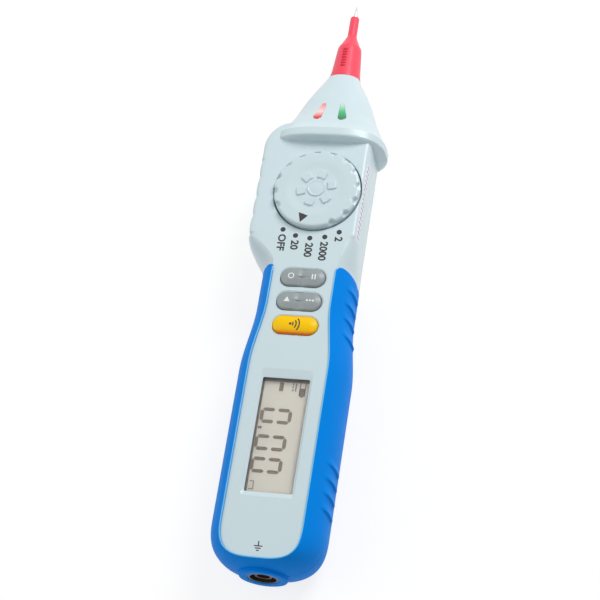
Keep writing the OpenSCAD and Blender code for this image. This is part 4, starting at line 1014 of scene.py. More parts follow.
def build_dial():
    """Knob as circles of a profile: flutes press the rim in, and a shallow dish in the middle
    carries six pads round a hub."""
    turn = np.linspace(0, 2 * math.pi, 624, endpoint=False)
    edge = 0.95
    skirt = [(DIAL_R, z) for z in (22.4, DIAL_TOP - 1.75, DIAL_TOP - 1.6, DIAL_TOP - 1.45, DIAL_TOP - 1.3)]
    rim = arc((DIAL_R - edge, DIAL_TOP - edge), edge, 0, 90, 12)
    inside = np.concatenate([np.linspace(13.1, 9.4, 16), np.linspace(9.2, 2.4, 62), [2.0, 1.3, 0.6, 0.02]])
    profile = np.concatenate([skirt, rim, np.stack([inside, np.full_like(inside, DIAL_TOP)], -1)])
    across, up = profile[:, :1], profile[:, 1:]
    reach = smooth((across - 11.3) / 1.9) * smooth((up - DIAL_TOP + 1.75) / 0.4)
    r = across - flute_depths(turn) * reach
    dish = 0.34 * smooth((10.6 - r) / 3.8)
    z = up - dish + sizes().petal_height / MM * pads_and_hub(r, turn) * (up > DIAL_TOP - 0.05)
    rings = np.stack([r * np.cos(turn), DIAL_Y + r * np.sin(turn), z], -1)
    parts = [loft("dial_knob", rings, sharp=60), peg("shaft", 0, DIAL_Y, 6.0, 20.6, 23.0, 72),
             peg("spigot", 0, DIAL_Y, 2.0, 18.3, 21.5),
             block("key", -3.2, 3.2, DIAL_Y - 0.6, DIAL_Y + 0.6, 19.45, 21.5)]
    return place(join("dial_knob", parts, dial_finish()), "dial", "range_dial", slot="pale_shell")


def dial_finish():
    """The dial's plastic, a shade darker than the shell's."""
    c = tuple(0.97 * v for v in colours().shell)
    return moulded("dial plastic", c, roughness=0.34, spread=0.12, tone=0.03, grain=3000.0, depth=0.7, coat=0.15)


def flat_mark(name, outlines, z, body, material):
    """Printed mark: flat outlines given a hair's thickness, laid just over the surface."""
    thick = sizes().print_height / MM
    made = [tower(name, [(np.asarray(o, float), z), (np.asarray(o, float), z + thick)]) for o in outlines]
    mark = join(name, made, material)
    return place(mark, body)


def bar(cx, cy, long, wide, degrees=0.0, radius=0.0):
    """Outline of a rectangle with round corners, turned about its middle."""
    outline = round_box(-long / 2, long / 2, -wide / 2, wide / 2, radius if radius else min(long, wide) * 0.12, 4)
    a = math.radians(degrees)
    turn = np.array([(math.cos(a), math.sin(a)), (-math.sin(a), math.cos(a))])
    return outline @ turn + np.array([cx, cy])


def circle(cx, cy, r, steps=40):
    """Outline of a circle."""
    t = np.linspace(0, 2 * math.pi, steps, endpoint=False)
    return np.stack([cx + r * np.cos(t), cy + r * np.sin(t)], -1)


def ring_bars(cx, cy, r, width, start, stop, count=12):
    """A bent stripe along an arc, as one closed outline."""
    a = np.radians(np.linspace(start, stop, count))
    outer = np.stack([cx + (r + width / 2) * np.cos(a), cy + (r + width / 2) * np.sin(a)], -1)
    inside = np.stack([cx + (r - width / 2) * np.cos(a), cy + (r - width / 2) * np.sin(a)], -1)
    return np.concatenate([outer, inside[::-1]])


def words(name, text, size, centre, degrees, z, body, material):
    """Printed figures: text made a mesh, turned to run from the given place and laid on the face."""
    curve_ = bpy.data.curves.new(name, "FONT")
    curve_.body, curve_.size = text, size * MM
    curve_.align_x, curve_.align_y = "LEFT", "CENTER"
    curve_.extrude = sizes().print_height / 2
    curve_.resolution_u = 4
    curve_.offset = 0.03 * size * MM
    obj = bpy.data.objects.new(name, curve_)
    bpy.context.scene.collection.objects.link(obj)
    graph = bpy.context.evaluated_depsgraph_get()
    mesh = bpy.data.meshes.new_from_object(obj.evaluated_get(graph))
    bpy.data.objects.remove(obj)
    turn = Matrix.Rotation(math.radians(degrees), 4, "Z")
    mesh.transform(Matrix.Translation(Vector((centre[0], centre[1], z)) * MM) @ turn)
    made = bpy.data.objects.new(name, mesh)
    bpy.context.scene.collection.objects.link(made)
    mesh.materials.clear()
    mesh.materials.append(material)
    return place(made, body)


def wall_patch(name, y0, y1, z0, z1, lift, lean=0.0):
    """Thin patch on the head's right wall: its rows follow the wall's own curve between two heights."""
    y = np.linspace(y0, y1, max(int((y1 - y0) / 0.5), 1) + 1)
    levels = np.linspace(z0, z1, 9)
    outer = []
    for z in levels:
        c = side_columns(1, y + lean * (z - levels.mean()), True)
        rise = np.clip((z - PARTING_Z) / (FACE_Z - PARTING_Z) * c[:, 7], 0, 1)
        share = way_in(c, np.arcsin(rise ** (c[:, 6] / 2)))
        outer.append(np.stack([lerp(c[:, 0], c[:, 2], share) + lift, c[:, 1], np.full(len(y), z)], -1))
    outer = np.stack(outer, 1)
    behind = outer[:, ::-1] - (0.12, 0, 0.03)
    return loft(name, np.concatenate([outer, behind], 1))


STRIP_LOW, STRIP_HIGH, DASH_PITCH, DASH_WIDTH, DASH_LEAN = 6.4, 34.4, 1.7, 0.55, 0.45


def build_side_strip():
    """Pale strip along the head's right wall with a row of slanted grey dashes."""
    pale = moulded("side strip", (0.86, 0.86, 0.93), roughness=0.45, spread=0.1, tone=0.03, depth=0.5)
    grey = ink("side dash", (0.36, 0.34, 0.44))
    strip = wall_patch("side_strip", STRIP_LOW, STRIP_HIGH, 21.7, 24.3, 0.04)
    finish_mesh(strip, pale)
    place(strip, "case")
    dashes = [wall_patch("dash", y, y + DASH_WIDTH, 22.1, 23.9, 0.07, DASH_LEAN)
              for y in np.arange(STRIP_LOW + 1.2, STRIP_HIGH - 1.2, DASH_PITCH)]
    place(join("side_dashes", dashes, grey), "case")


# ---------------------------------------------------------------- keys

def hollow(x, z, valley):
    """Depth of a rocker key's soft hollow: a bell across its middle that fades out below the top."""
    return valley * np.exp(-(x / 1.15) ** 2) * smooth((z - 24.6) / 1.2)


def key_solid(name, y, valley, crown, material=None):
    """Oblong key: rings shrink from the skirt over a round edge to the middle line; the top is
    crowned, and a rocker key has a soft hollow across its middle."""
    shoulder, flat = KEY_TOP - KEY_EDGE - crown, KEY_R - KEY_EDGE
    layers = [(KEY_R + 0.6, 21.4), (KEY_R + 0.6, 22.2), (KEY_R, 22.2), (KEY_R, shoulder)]
    layers += [(flat + KEY_EDGE * math.cos(a), shoulder + KEY_EDGE * math.sin(a))
               for a in np.radians(np.linspace(12, 78, 8))]
    layers += [(flat * share, KEY_TOP - crown * share**2) for share in np.linspace(0.92, 0.02, 16)]
    outlines = []
    for radius, z in layers:
        outline = at_height(oblong(KEY_RUN, radius, (0, y), 20, 41), z)
        outline[:, 2] -= hollow(outline[:, 0], z, valley)
        outlines.append(outline)
    return loft(name, outlines, material)


def key_edge_painted_shade(material):
    """Deepens the yellow key's colour towards its long edges: painted shade on the key's rounded edges."""
    tree = material.node_tree
    group = next(node for node in tree.nodes if node.type == "GROUP")
    axes = wire(tree, "ShaderNodeSeparateXYZ", {0: object_place(tree)})
    away = math_node(tree, "SUBTRACT", axes.outputs["Y"], (KEY_YS[2] + 0.4) * MM)
    share = map_range(tree, math_node(tree, "ABSOLUTE", away), 2.1 * MM, 3.3 * MM)
    # Deep orange at the long edges is painted shade, not a colour of the key.
    tint = mix_colours(tree, share, group.inputs["Colour"].default_value[:], (0.90, 0.22, 0.01, 1.0))
    tree.links.new(tint, group.inputs["Colour"])
    return material


def build_keys():
    """Two rocker keys with their pivots, and the yellow key."""
    grey = moulded("grey key plastic", colours().grey_key, roughness=0.38, spread=0.12, tone=0.05, coat=0.15)
    gold = key_edge_painted_shade(moulded("yellow key plastic", colours().yellow_key, roughness=0.3, spread=0.1, tone=0.05,
                                 depth=0.4, specular=0.2))
    valley = sizes().key_valley / MM
    for name, body, y in (("upper_key", "upper_rocker", KEY_YS[0]), ("lower_key", "lower_rocker", KEY_YS[1])):
        pivot = rod("pivot", y - 3.15, y + 3.15, 0.7, steps=40, centre=(0, 21.7))
        cap = join(name + "_cap", [key_solid(name, y, valley, ROCKER_CROWN), pivot], grey)
        place(cap, body, name, slot="grey_key")
    cap = key_solid("sensing_key_cap", KEY_YS[2], 0.0, YELLOW_CROWN, gold)
    place(cap, "yellow_key", "sensing_key", slot="yellow_key")


# ---------------------------------------------------------------- probe end

SLEEVE_OUTSIDE = ((5.05, SLEEVE_Y + 0.1), (5.4, SLEEVE_Y + 0.25), (5.38, SLEEVE_Y + 0.9), (4.95, 75.6), (4.2, 84.6),
                  (4.05, 85.6), (3.85, 86.2), (3.5, 86.7), (2.35, 89.3), (1.95, 90.2), (1.68, 90.9), (1.6, 91.6),
                  (1.55, 98.5), (1.45, 98.85), (1.25, 99.0), (0.86, 99.0))
SLEEVE_CORE = ((0.86, 86.1), (2.25, 86.1), (2.25, 84.4), (3.15, 84.4), (3.15, SLEEVE_Y + 0.1))
MARK_X, MARK_Y, MARK_PITCH, MARK_COUNT = -0.4, 76.6, 1.15, 7


def build_tip_guard():
    """Red sleeve: a stepped, rounded profile turned about the probe axis with a hollow core, and
    a column of small raised marks along it."""
    profile = np.array(SLEEVE_OUTSIDE + SLEEVE_CORE)
    steps = 112
    turn = np.linspace(0, 2 * math.pi, steps, endpoint=False)
    r, y = profile[:, :1], profile[:, 1:]
    points = np.stack([r * np.cos(turn), y + 0 * turn, AXIS_Z + r * np.sin(turn)], -1)
    faces = grid_faces(len(profile), steps, True).tolist()
    last = (len(profile) - 1) * steps
    faces += [[last + i, last + (i + 1) % steps, (i + 1) % steps, i] for i in range(steps)]
    red = moulded("red guard plastic", colours().guard, roughness=0.38, spread=0.14, tone=0.08, coat=0.05,
                  specular=0.3)
    place(put_mesh("tip_guard_sleeve", points.reshape(-1, 3), faces, red), "guard", "tip_guard", slot="red_plastic")
    marks = []
    for y in MARK_Y + MARK_PITCH * np.arange(MARK_COUNT):
        skin = AXIS_Z + np.interp(y, [75.6, 84.6], [4.95, 4.2]) - 0.08
        outline = round_box(MARK_X - 0.8, MARK_X + 0.8, y - 0.3, y + 0.3, 0.2, 4)
        top = (outline - (MARK_X, y)) * 0.8 + (MARK_X, y)
        marks.append(tower("mark", [(outline, skin - 0.3), (outline, skin + 0.18), (top, skin + 0.25)]))
    deep = moulded("red guard mark", (0.62, 0.02, 0.05), roughness=0.45, spread=0.1, tone=0.1, specular=0.3)
    place(join("tip_guard_marks", marks, deep), "guard")


def build_probe():
    """Steel needle with its point, and the brass sleeve round its foot."""
    axis, needle_r = (0, 0, AXIS_Z), 0.8
    steel = metal("bright plated steel", (0.74, 0.74, 0.75), (0.35, 0.33, 0.3), tarnish=0.25, roughness=0.14)
    profile = [(needle_r, 66), (needle_r, 99.6), (0.78, 99.9), (0.14, 103.86), (0.08, 103.97), (0.02, 104.0)]
    place(turned("needle", profile, axis, "y", 64, steel), "case", "probe_needle", slot="steel")
    sleeve = turned("brass_sleeve", [(2.2, 56), (2.2, 85.7), (2.05, 85.95), (1.8, 86.0)], axis, "y", 80)
    combine(sleeve, [rod("bore", 66, 87, needle_r, steps=64)])
    clean(sleeve, brass_finish())
    place(sleeve, "case", "needle_sleeve", slot="brass")


# Lamp windows: node, piece, side and the colours from the window's lower end up; the darkest colour is painted shade
# and the palest a painted highlight.
LAMP_WINDOWS = (
    ("red_lens", "red_lamp_window", -1, ((0.72, 0.005, 0.012), (1.0, 0.70, 0.68), (1.0, 0.16, 0.20))),
    ("green_lens", "green_lamp_window", 1, ((0.0, 0.22, 0.06), (0.02, 0.48, 0.17), (0.55, 0.84, 0.68))))
DOME = ((1.0, -0.25), (1.0, -0.02), (0.975, 0.06), (0.93, 0.12), (0.85, 0.16), (0.7, 0.19), (0.5, 0.2), (0.3, 0.2),
        (0.1, 0.2), (0.01, 0.2))


def build_lenses():
    """Lamp windows: the slot's outline closes over a low dome that follows the nose."""
    for node, name, side, tint in LAMP_WINDOWS:
        base = teardrop(side)
        middle = base.mean(0)
        rings = [at_height(base, 18.7)]
        for share, lift in DOME:
            xy = middle + (base - middle) * share
            rings.append(np.concatenate([xy, (nose_top(xy[:, 0], xy[:, 1]) + lift)[:, None]], 1))
        finish = lens_painted_light_finish(name.replace("_", " ") + " plastic", *tint, 49.4, 57.6)
        place(loft(name, rings, finish), "case", node, slot=node)


# ---------------------------------------------------------------- display

# A figure's bars: right or left, up or down, and whether the bar lies flat.
SEGMENTS = {"a": (0, 1, 1), "b": (1, 0.5, 0), "c": (1, -0.5, 0), "d": (0, -1, 1), "e": (-1, -0.5, 0),
            "f": (-1, 0.5, 0)}


def segment(kind, cx, cy, half_w, half_h, thick, slant=0.01):
    """One bar of a seven-bar figure, six-sided, in reading direction (right, up). The upright bars
    lie a little away from the middle, so a gap shows between them."""
    sx, sy, flat = SEGMENTS[kind]
    long = half_w - 0.12 if flat else half_h / 2 - 0.27
    t = thick / 2
    bar_ = np.array([(-long, 0), (-long + t, t), (long - t, t), (long, 0), (long - t, -t), (-long + t, -t)])
    if not flat:
        bar_ = bar_[:, ::-1]
    bar_ = bar_ + np.array([sx * half_w, sy * half_h + (0 if flat else 0.15 * np.sign(sy))])
    bar_[:, 0] += slant * bar_[:, 1]
    return bar_ + np.array([cx, cy])


def read_to_face(points):
    """Turns reading right and up into the face's down and right: the display reads along the handle."""
    points = np.asarray(points, float)
    return np.stack([points[:, 1], -points[:, 0]], -1)


FIGURES = ((-1.8, -55.15), (-2.15, -64.05), (-2.25, -71.4))
FIGURE_HALF_W, FIGURE_HALF_H, FIGURE_BAR = 2.0, 4.45, 1.15
DISPLAY_Z, PANE_LOW, PANE_HIGH = 22.62, 22.9, 24.3


def build_display():
    """Clear window, and the display's figures and signs laid over its panel, with dark strips of painted shadow along
    its edges.
    """
    outline = round_box(-8.85, 8.85, WINDOW_LOW - 1.35, WINDOW_HIGH + 1.35, 0.55)
    pane = tower("window_pane", [(outline, PANE_LOW), (outline, PANE_HIGH)], clear_window("clear window plastic"))
    place(pane, "case", "display_window", slot="window")
    film = moulded("display film", colours().display, roughness=0.5, spread=0.06, tone=0.06, grain=4200.0,
                   depth=0.2, specular=0.2)
    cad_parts["lcd_panel"].material_slots[0].material = film
    segs = moulded("display segment", (0.10, 0.07, 0.05), roughness=0.4, spread=0.05, tone=0.1, depth=0.2)
    figures = [read_to_face(segment(kind, 0, 0, FIGURE_HALF_W, FIGURE_HALF_H, FIGURE_BAR)) + np.array(spot)
               for spot in FIGURES for kind in SEGMENTS]
    figures += [bar(-1.5, -45.35, 1.36, 2.95, 0, 0.1), bar(-6.2, -59.2, 1.2, 0.8, 0, 0.15)]
    flat_mark("display_digits", figures, DISPLAY_Z, "case", segs)
    cell = [bar(5.25, -45.7, 1.9, 0.35), bar(5.25, -43.6, 1.9, 0.35), bar(5.25, -48.0, 1.9, 0.35),
            bar(4.45, -45.8, 0.35, 4.4), bar(6.1, -45.8, 0.35, 4.4), bar(5.25, -46.8, 1.9, 2.2),
            bar(5.25, -48.35, 0.8, 0.4)]
    steady = [bar(3.1, -45.25, 0.42, 2.7)] + [bar(2.2, -45.25 + d, 0.4, 0.65) for d in (-1.0, 0.0, 1.0)]
    unit = [bar(-5.8, -76.7, 1.4, 0.3), bar(-5.8, -79.2, 1.4, 0.3), bar(-5.25, -77.95, 0.3, 2.4)]
    flat_mark("display_signs", cell + steady + unit, DISPLAY_Z, "case", segs)
    # Dark strips along the display's top and sides: painted shadow of the window's surround.
    shade = moulded("display painted shadow", (0.10, 0.085, 0.07), roughness=0.5, spread=0.1, tone=0.15, depth=0.3)
    gap = [bar(-7.65, -61.5, 1.3, 40.0), bar(0.0, -43.0, 17.0, 1.5), bar(7.8, -61.5, 1.0, 40.0)]
    flat_mark("display_painted_shadow", gap, DISPLAY_Z - 0.01, "case", shade)


# ---------------------------------------------------------------- prints

DOT_CENTRE, DOT_RING, DOT_PITCH = np.array([0.1, 23.08]), 17.31, 16.14
DIAL_LABELS = ("OFF", "20", "200", "2000", "2")


def build_prints():
    """Dots and figures on a ring about the dial, the dial's pointer and the socket's sign."""
    dark, white = ink("dark print", colours().ink), ink("white print", (0.85, 0.86, 0.86))
    turns = np.radians(-90 + DOT_PITCH * np.arange(-2, 3))
    spots = DOT_CENTRE + DOT_RING * np.stack([np.cos(turns), np.sin(turns)], -1)
    flat_mark("dial_dots", [circle(x, y, sizes().dot_radius / MM) for x, y in spots], FACE_Z, "case", dark)
    for k, (label, (x, y)) in enumerate(zip(DIAL_LABELS, spots)):
        words(f"dial_mark_{k}", label, 3.4, (x, y - 1.7), -90, FACE_Z + sizes().print_height / MM, "case", dark)
    pointer = np.array([(-4.39, 13.82), (-1.18, 12.75), (-3.5, 10.25)])
    flat_mark("dial_pointer", [pointer], DIAL_TOP, "dial", dark)
    ground_sign = [bar(0, y, long, wide) for y, long, wide in ((-96.7, 0.35, 1.5), (-97.5, 2.6, 0.35),
                                                               (-98.2, 1.7, 0.35), (-98.9, 0.8, 0.35))]
    flat_mark("socket_sign", ground_sign, FACE_Z, "case", dark)
    build_side_strip()
    build_key_marks(white, dark)


def key_height(x, dy, valley, crown):
    """Height of a key's crown at a place measured from its middle, as key_solid forms it."""
    away = np.hypot(np.clip(np.abs(x) - KEY_RUN, 0, None), dy)
    z = KEY_TOP - crown * np.clip(away / (KEY_R - KEY_EDGE), 0, 1) ** 2
    return z - hollow(x, z, valley)


MARK_LIFT, MARK_T = 0.01, 0.03


def crown_mark(name, y, outlines, valley, crown, body, material):
    """Mark printed on a crowned key: each flat outline is filled, cut fine, laid on the crown
    and given a hair's thickness."""
    work = bmesh.new()
    for outline in outlines:
        work.faces.new([work.verts.new((a, b, 0.0)) for a, b in np.asarray(outline, float)])
    bmesh.ops.triangulate(work, faces=work.faces)
    for _ in range(2):
        bmesh.ops.subdivide_edges(work, edges=work.edges, cuts=1, use_grid_fill=True)
    mesh = bpy.data.meshes.new(name)
    work.to_mesh(mesh)
    work.free()
    flat = np.empty(len(mesh.vertices) * 3)
    mesh.vertices.foreach_get("co", flat)
    flat = flat.reshape(-1, 3)
    flat[:, 2] = key_height(flat[:, 0], flat[:, 1], valley, crown) + MARK_LIFT
    flat[:, 1] += y
    mesh.vertices.foreach_set("co", (flat * MM).ravel())
    work = bmesh.new()
    work.from_mesh(mesh)
    raised = bmesh.ops.extrude_face_region(work, geom=work.faces[:], use_keep_orig=True)["geom"]
    raised = [item for item in raised if isinstance(item, bmesh.types.BMVert)]
    bmesh.ops.translate(work, vec=(0, 0, MARK_T * MM), verts=raised)
    bmesh.ops.recalc_face_normals(work, faces=work.faces)
    work.to_mesh(mesh)
    work.free()
    obj = bpy.data.objects.new(name, mesh)
    bpy.context.scene.collection.objects.link(obj)
    finish_mesh(obj, material)
    return place(obj, body)


def build_key_marks(white, dark):
    """Signs on the keys: six arcs and two bars, a triangle and three dots, and three bent waves."""
    valley = sizes().key_valley / MM
    ring = [ring_bars(-3.6, 0, 0.85, 0.34, a, a + 60) for a in range(0, 360, 60)]
    pause = [bar(3.3, 0, 0.42, 1.8), bar(4.2, 0, 0.42, 1.8)]
    crown_mark("upper_key_marks", KEY_YS[0], ring + pause, valley, ROCKER_CROWN, "upper_rocker", white)
    rise = [np.array([(-4.7, -0.75), (-2.7, -0.75), (-3.7, 0.95)])]
    dots = [circle(2.8 + 0.95 * k, 0, 0.34, 20) for k in range(3)]
    crown_mark("lower_key_marks", KEY_YS[1], rise + dots, valley, ROCKER_CROWN, "lower_rocker", white)
    waves = [ring_bars(-1.3, 0, r, 0.4, -42, 42, 14) for r in (0.9, 1.9, 2.9)] + [circle(-1.3, 0, 0.42, 24)]
    crown_mark("sensing_key_mark", KEY_YS[2], waves, 0.0, YELLOW_CROWN, "yellow_key", dark)


# ---------------------------------------------------------------- socket, battery bay, back

def helix(name, radius, wire_r, run, turns, origin, axis, material):
    """Coil spring: a round wire carried along a helix."""
    steps_a_turn, sides = 28, 12
    count = int(steps_a_turn * turns)
    t = np.linspace(0, 1, count)
    turn = 2 * math.pi * turns * t
    path = np.stack([radius * np.cos(turn), radius * np.sin(turn), wire_r + (run - 2 * wire_r) * t], -1)
    tangent = np.gradient(path, axis=0)
    tangent /= np.linalg.norm(tangent, axis=1, keepdims=True)
    out = np.stack([np.cos(turn), np.sin(turn), np.zeros(count)], -1)
    up = np.cross(tangent, out)
    a = np.linspace(0, 2 * math.pi, sides, endpoint=False)
    rings = path[:, None] + wire_r * (np.cos(a)[None, :, None] * out[:, None] + np.sin(a)[None, :, None] * up[:, None])
    order, way = {"y": ((0, 2, 1), 1), "x": ((2, 0, 1), 1), "-x": ((2, 0, 1), -1)}[axis]
    return loft(name, rings[..., order] * (way, 1, 1) + np.asarray(origin, float), material)


def screw_head(name, x, y, z_face, r, depth, shank_r, z_end, material):
    """Pan screw seen from the back: a domed head with a cross recess, and its shank."""
    under, arm, slit = z_face + depth, r * 0.58, 0.22
    profile = [(shank_r, z_end), (shank_r, under), (r, under), (r, z_face + 0.3), (r - 0.15, z_face + 0.1),
               (r - 0.45, z_face), (0.02, z_face)]
    head = turned(name, profile, (x, y, 0), "z", 56)
    combine(head, [block("arm", x - a, x + a, y - b, y + b, z_face - 1, z_face + 0.75)
                   for a, b in ((arm, slit), (slit, arm))])
    return clean(head, material)


LID_LOW, LID_HIGH, LID_HALF = -86.35, -30.55, 10.6


def build_back():
    """Screws of the case and of the battery cover, and the cover with its finger grooves."""
    steel = metal("screw steel", (0.62, 0.62, 0.63), (0.25, 0.23, 0.2), tarnish=0.35, roughness=0.24)
    heads = [screw_head("screw", x, y, z_face=0.4, r=2.1, depth=1.8, shank_r=0.95, z_end=20.0, material=steel)
             for x, y in SCREWS]
    place(join("case_screw_set", heads, steel), "case", "case_screws", slot="steel")
    heads = [screw_head("screw", 0, y, z_face=0.3, r=1.8, depth=0.7, shank_r=0.9, z_end=6.0, material=steel)
             for y in COVER_SCREWS]
    place(join("cover_screw_set", heads, steel), "battery_door", "cover_screws", slot="steel")
    lid = [(round_box(-LID_HALF + e, LID_HALF - e, LID_LOW + e, LID_HIGH - e, r), z)
           for e, r, z in ((0, 1.0, 1.7), (0, 1.0, 0.22), (0.07, 0.95, 0.07), (0.22, 0.85, 0.0))]
    cuts = [peg("hole", 0, y, r, -1, z) for r, z in ((1.8, 1.0), (0.9, 3)) for y in COVER_SCREWS]
    for y in np.arange(-42.5, -36.0, 1.7):
        wide, slim = (round_box(-a, a, y - b, y + b, r, 5) for a, b, r in ((6.5, 0.45, 0.4), (6.3, 0.25, 0.2)))
        cuts.append(tower("groove", [(wide, -1), (wide, 0.3), (slim, 0.45)]))
    cover = clean(combine(tower("battery_lid", lid), cuts), shell_finish())
    place(cover, "battery_door", "battery_cover", slot="pale_shell")


def cell_wrap():
    """Printed wrap of a cell: a dark body band and a brassy end band, split by place along the cell."""
    material, tree, bsdf = shader("cell wrap")
    axes = wire(tree, "ShaderNodeSeparateXYZ", {0: object_place(tree)})
    first = math_node(tree, "GREATER_THAN", axes.outputs["X"], 0.0)
    share = map_range(tree, axes.outputs["Y"], (CELL_LOW + 0.1) * MM, (CELL_LOW + CELL_L + 2.0) * MM)
    flipped = math_node(tree, "SUBTRACT", 1.0, share)
    along = wire(tree, "ShaderNodeMix", {"Factor": first, 2: flipped, 3: share}, data_type="FLOAT")
    ramp = wire(tree, "ShaderNodeValToRGB", {0: along.outputs[0]})
    ramp.color_ramp.interpolation = "CONSTANT"
    ramp.color_ramp.elements[0].color = (0.50, 0.30, 0.10, 1.0)
    ramp.color_ramp.elements[1].position = 0.3
    ramp.color_ramp.elements[1].color = (0.03, 0.03, 0.035, 1.0)
    values = {"Tone": 0.05, "Roughness": 0.25, "Roughness spread": 0.08, "Grain scale": 2000.0, "Grain depth": 0.4}
    group = use_group(tree, bsdf, "moulded_surface", values, 0.1, 0.00005)
    tree.links.new(ramp.outputs[0], group.inputs["Colour"])
    bsdf.inputs["Coat Weight"].default_value = 0.3
    return material


def build_battery():
    """The two cells, head to tail, and the coil spring at each one's flat end."""
    steel, r, long = spring_finish(), CELL_R, CELL_L
    body = [(r - 0.9, 0.0), (r - 0.25, 0.05), (r, 0.35), (r, long - 1.5), (r - 0.3, long - 0.95), (r - 0.9, long - 0.8),
            (2.1, long - 0.8), (1.9, long - 0.65), (1.9, long - 0.12), (1.75, long), (0.02, long)]
    up = [(a, CELL_LOW + 2.1 + b) for a, b in body]
    down = [(a, CELL_LOW + long - b) for a, b in body]
    cells = [turned("cell", profile, (x, 0, CELL_Z), "y", 72) for profile, x in ((up, -CELL_X), (down, CELL_X))]
    place(join("cell_pair", cells, cell_wrap()), "case", "battery_cells", slot="cell_wrap")
    springs = [helix("spring", radius=2.35, wire_r=0.25, run=2.1, turns=3.2, origin=(x, y, CELL_Z), axis="y",
                     material=steel)
               for x, y in ((-CELL_X, CELL_LOW), (CELL_X, CELL_LOW + long))]
    place(join("cell_springs", springs, steel), "case", "battery_springs", slot="steel")


def build_mechanism():
    """The detent's two coil springs, which push outwards, and the dial's screw."""
    steel = spring_finish()
    springs = [helix("spring", radius=0.52, wire_r=0.1, run=2.65, turns=5, origin=(x, DIAL_Y, 19.45), axis=axis,
                     material=steel)
               for x, axis in ((6.9, "x"), (-6.9, "-x"))]
    place(join("detent_coils", springs, steel), "dial", "detent_springs", slot="steel")
    screw = screw_head("dial_screw_set", 0, DIAL_Y, z_face=16.8, r=2.6, depth=1.5, shank_r=1.0, z_end=23.3,
                       material=steel)
    place(screw, "dial", "dial_screw", slot="steel")


def board_finish():
    """Green solder mask with paler copper tracks under it: the edges of square cells."""
    material, tree, bsdf = shader("solder mask")
    cells = wire(tree, "ShaderNodeTexVoronoi", {"Vector": object_place(tree), "Scale": 420.0}, distance="CHEBYCHEV")
    tracks = math_node(tree, "GREATER_THAN", cells.outputs["Distance"], 0.34)
    tint = mix_colours(tree, tracks, (0.005, 0.10, 0.035, 1), (0.03, 0.24, 0.08, 1))
    tree.links.new(tint, bsdf.inputs["Base Color"])
    tree.links.new(map_range(tree, cells.outputs["Distance"], 0.0, 1.0, 0.25, 0.45), bsdf.inputs["Roughness"])
    bump(tree, bsdf, tracks, 0.3)
    return material


def dress_inner_nodes():
    """Finishes for the nodes whose own shape is kept."""
    white = moulded("white moulding", (0.75, 0.75, 0.73), roughness=0.45)
    dark = moulded("black moulding", (0.02, 0.02, 0.022), roughness=0.4, coat=0.1)
    silicone = moulded("grey silicone", (0.5, 0.51, 0.5), roughness=0.6, spread=0.1)
    rubber = moulded("striped elastomer", (0.08, 0.08, 0.09), roughness=0.7)
    steel = metal("contact steel", (0.68, 0.68, 0.69), (0.3, 0.28, 0.25), tarnish=0.2)
    brass = brass_finish()
    copper = metal("bare copper", (0.80, 0.42, 0.24), (0.35, 0.15, 0.08), tarnish=0.4, roughness=0.25)
    # The socket's contact is copper darkened as painted shade for the inside of the socket.
    shaded = metal("socket barrel with painted shade", (0.16, 0.085, 0.05), (0.05, 0.03, 0.02), tarnish=0.5, roughness=0.35)
    fuse_glass = moulded("fuse body", (0.7, 0.74, 0.74), roughness=0.15, coat=0.5)
    red = moulded("red lamp", (0.75, 0.03, 0.03), roughness=0.2, coat=0.5)
    green = moulded("green lamp", (0.03, 0.5, 0.12), roughness=0.2, coat=0.5)
    table = {"lcd_carrier": white, "zebra_strips": rubber, "circuit_board": board_finish(), "measuring_chip": dark,
             "buzzer": dark, "fuse": fuse_glass, "fuse_clips": brass, "key_mat": silicone, "key_switches": steel,
             "dial_rotor": white, "rotor_contacts": brass, "detent_balls": steel, "detent_ring": white,
             "red_led": red, "green_led": green, "sensing_antenna": copper, "probe_holder": dark,
             "probe_contact": brass, "socket_contact": shaded, "socket_insulator": dark, "battery_plates": steel}
    for node, material in table.items():
        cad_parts[node].material_slots[0].material = material


# ---------------------------------------------------------------- stage

CAMERA_AT = (127.0267, -250.6594, 520.9783)
CAMERA_AXES = ((0.97261, 0.14942, -0.17805), (-0.05748, 0.89683, 0.43863), (0.22522, -0.41638, 0.88085))
CAMERA_LENS = 107.2156
FLOOR_HALF, FLOOR_Z, FLOOR_GLOW = 3000, -0.4, 0.74
WORLD_LIGHT, AIM_Z = 0.32, 15
# Lamps: name, place in millimetres, size in metres and power in watts.
LAMPS = (("key", (300, 420, 520), 0.35, 3.45), ("fill", (-420, -60, 420), 0.6, 1.05),
         ("front", (150, -500, 350), 0.5, 0.12))


def seen_rays(tree):
    """1 for what the camera sees, straight, in a reflection or through glass, and 0 for the
    light that falls on the object."""
    path = wire(tree, "ShaderNodeLightPath").outputs
    straight = math_node(tree, "MAXIMUM", path["Is Camera Ray"], path["Is Glossy Ray"])
    return math_node(tree, "MAXIMUM", straight, path["Is Transmission Ray"])


def pale_floor():
    """Floor that looks white to the camera and in reflections, and keeps the object's soft shadow:
    there part of its light is its own, and towards the object it is a plain pale surface."""
    material, tree, bsdf = shader("pale floor")
    tone = map_range(tree, noise(tree, object_place(tree), 900.0, 2.0), 0.0, 1.0, 0.86, 0.9)
    bsdf.inputs["Roughness"].default_value = 0.9
    seen = seen_rays(tree)
    own = math_node(tree, "MULTIPLY", tone, map_range(tree, seen, 0.0, 1.0, 1.0, 1.0 - FLOOR_GLOW))
    tree.links.new(own, bsdf.inputs["Base Color"])
    strength = math_node(tree, "MULTIPLY", seen, FLOOR_GLOW + 0.06)
    glow = wire(tree, "ShaderNodeEmission", {"Color": (1, 1, 1, 1), "Strength": strength})
    both = wire(tree, "ShaderNodeAddShader", {0: bsdf.outputs[0], 1: glow.outputs[0]})
    tree.links.new(both.outputs[0], tree.nodes["Material Output"].inputs["Surface"])
    return material


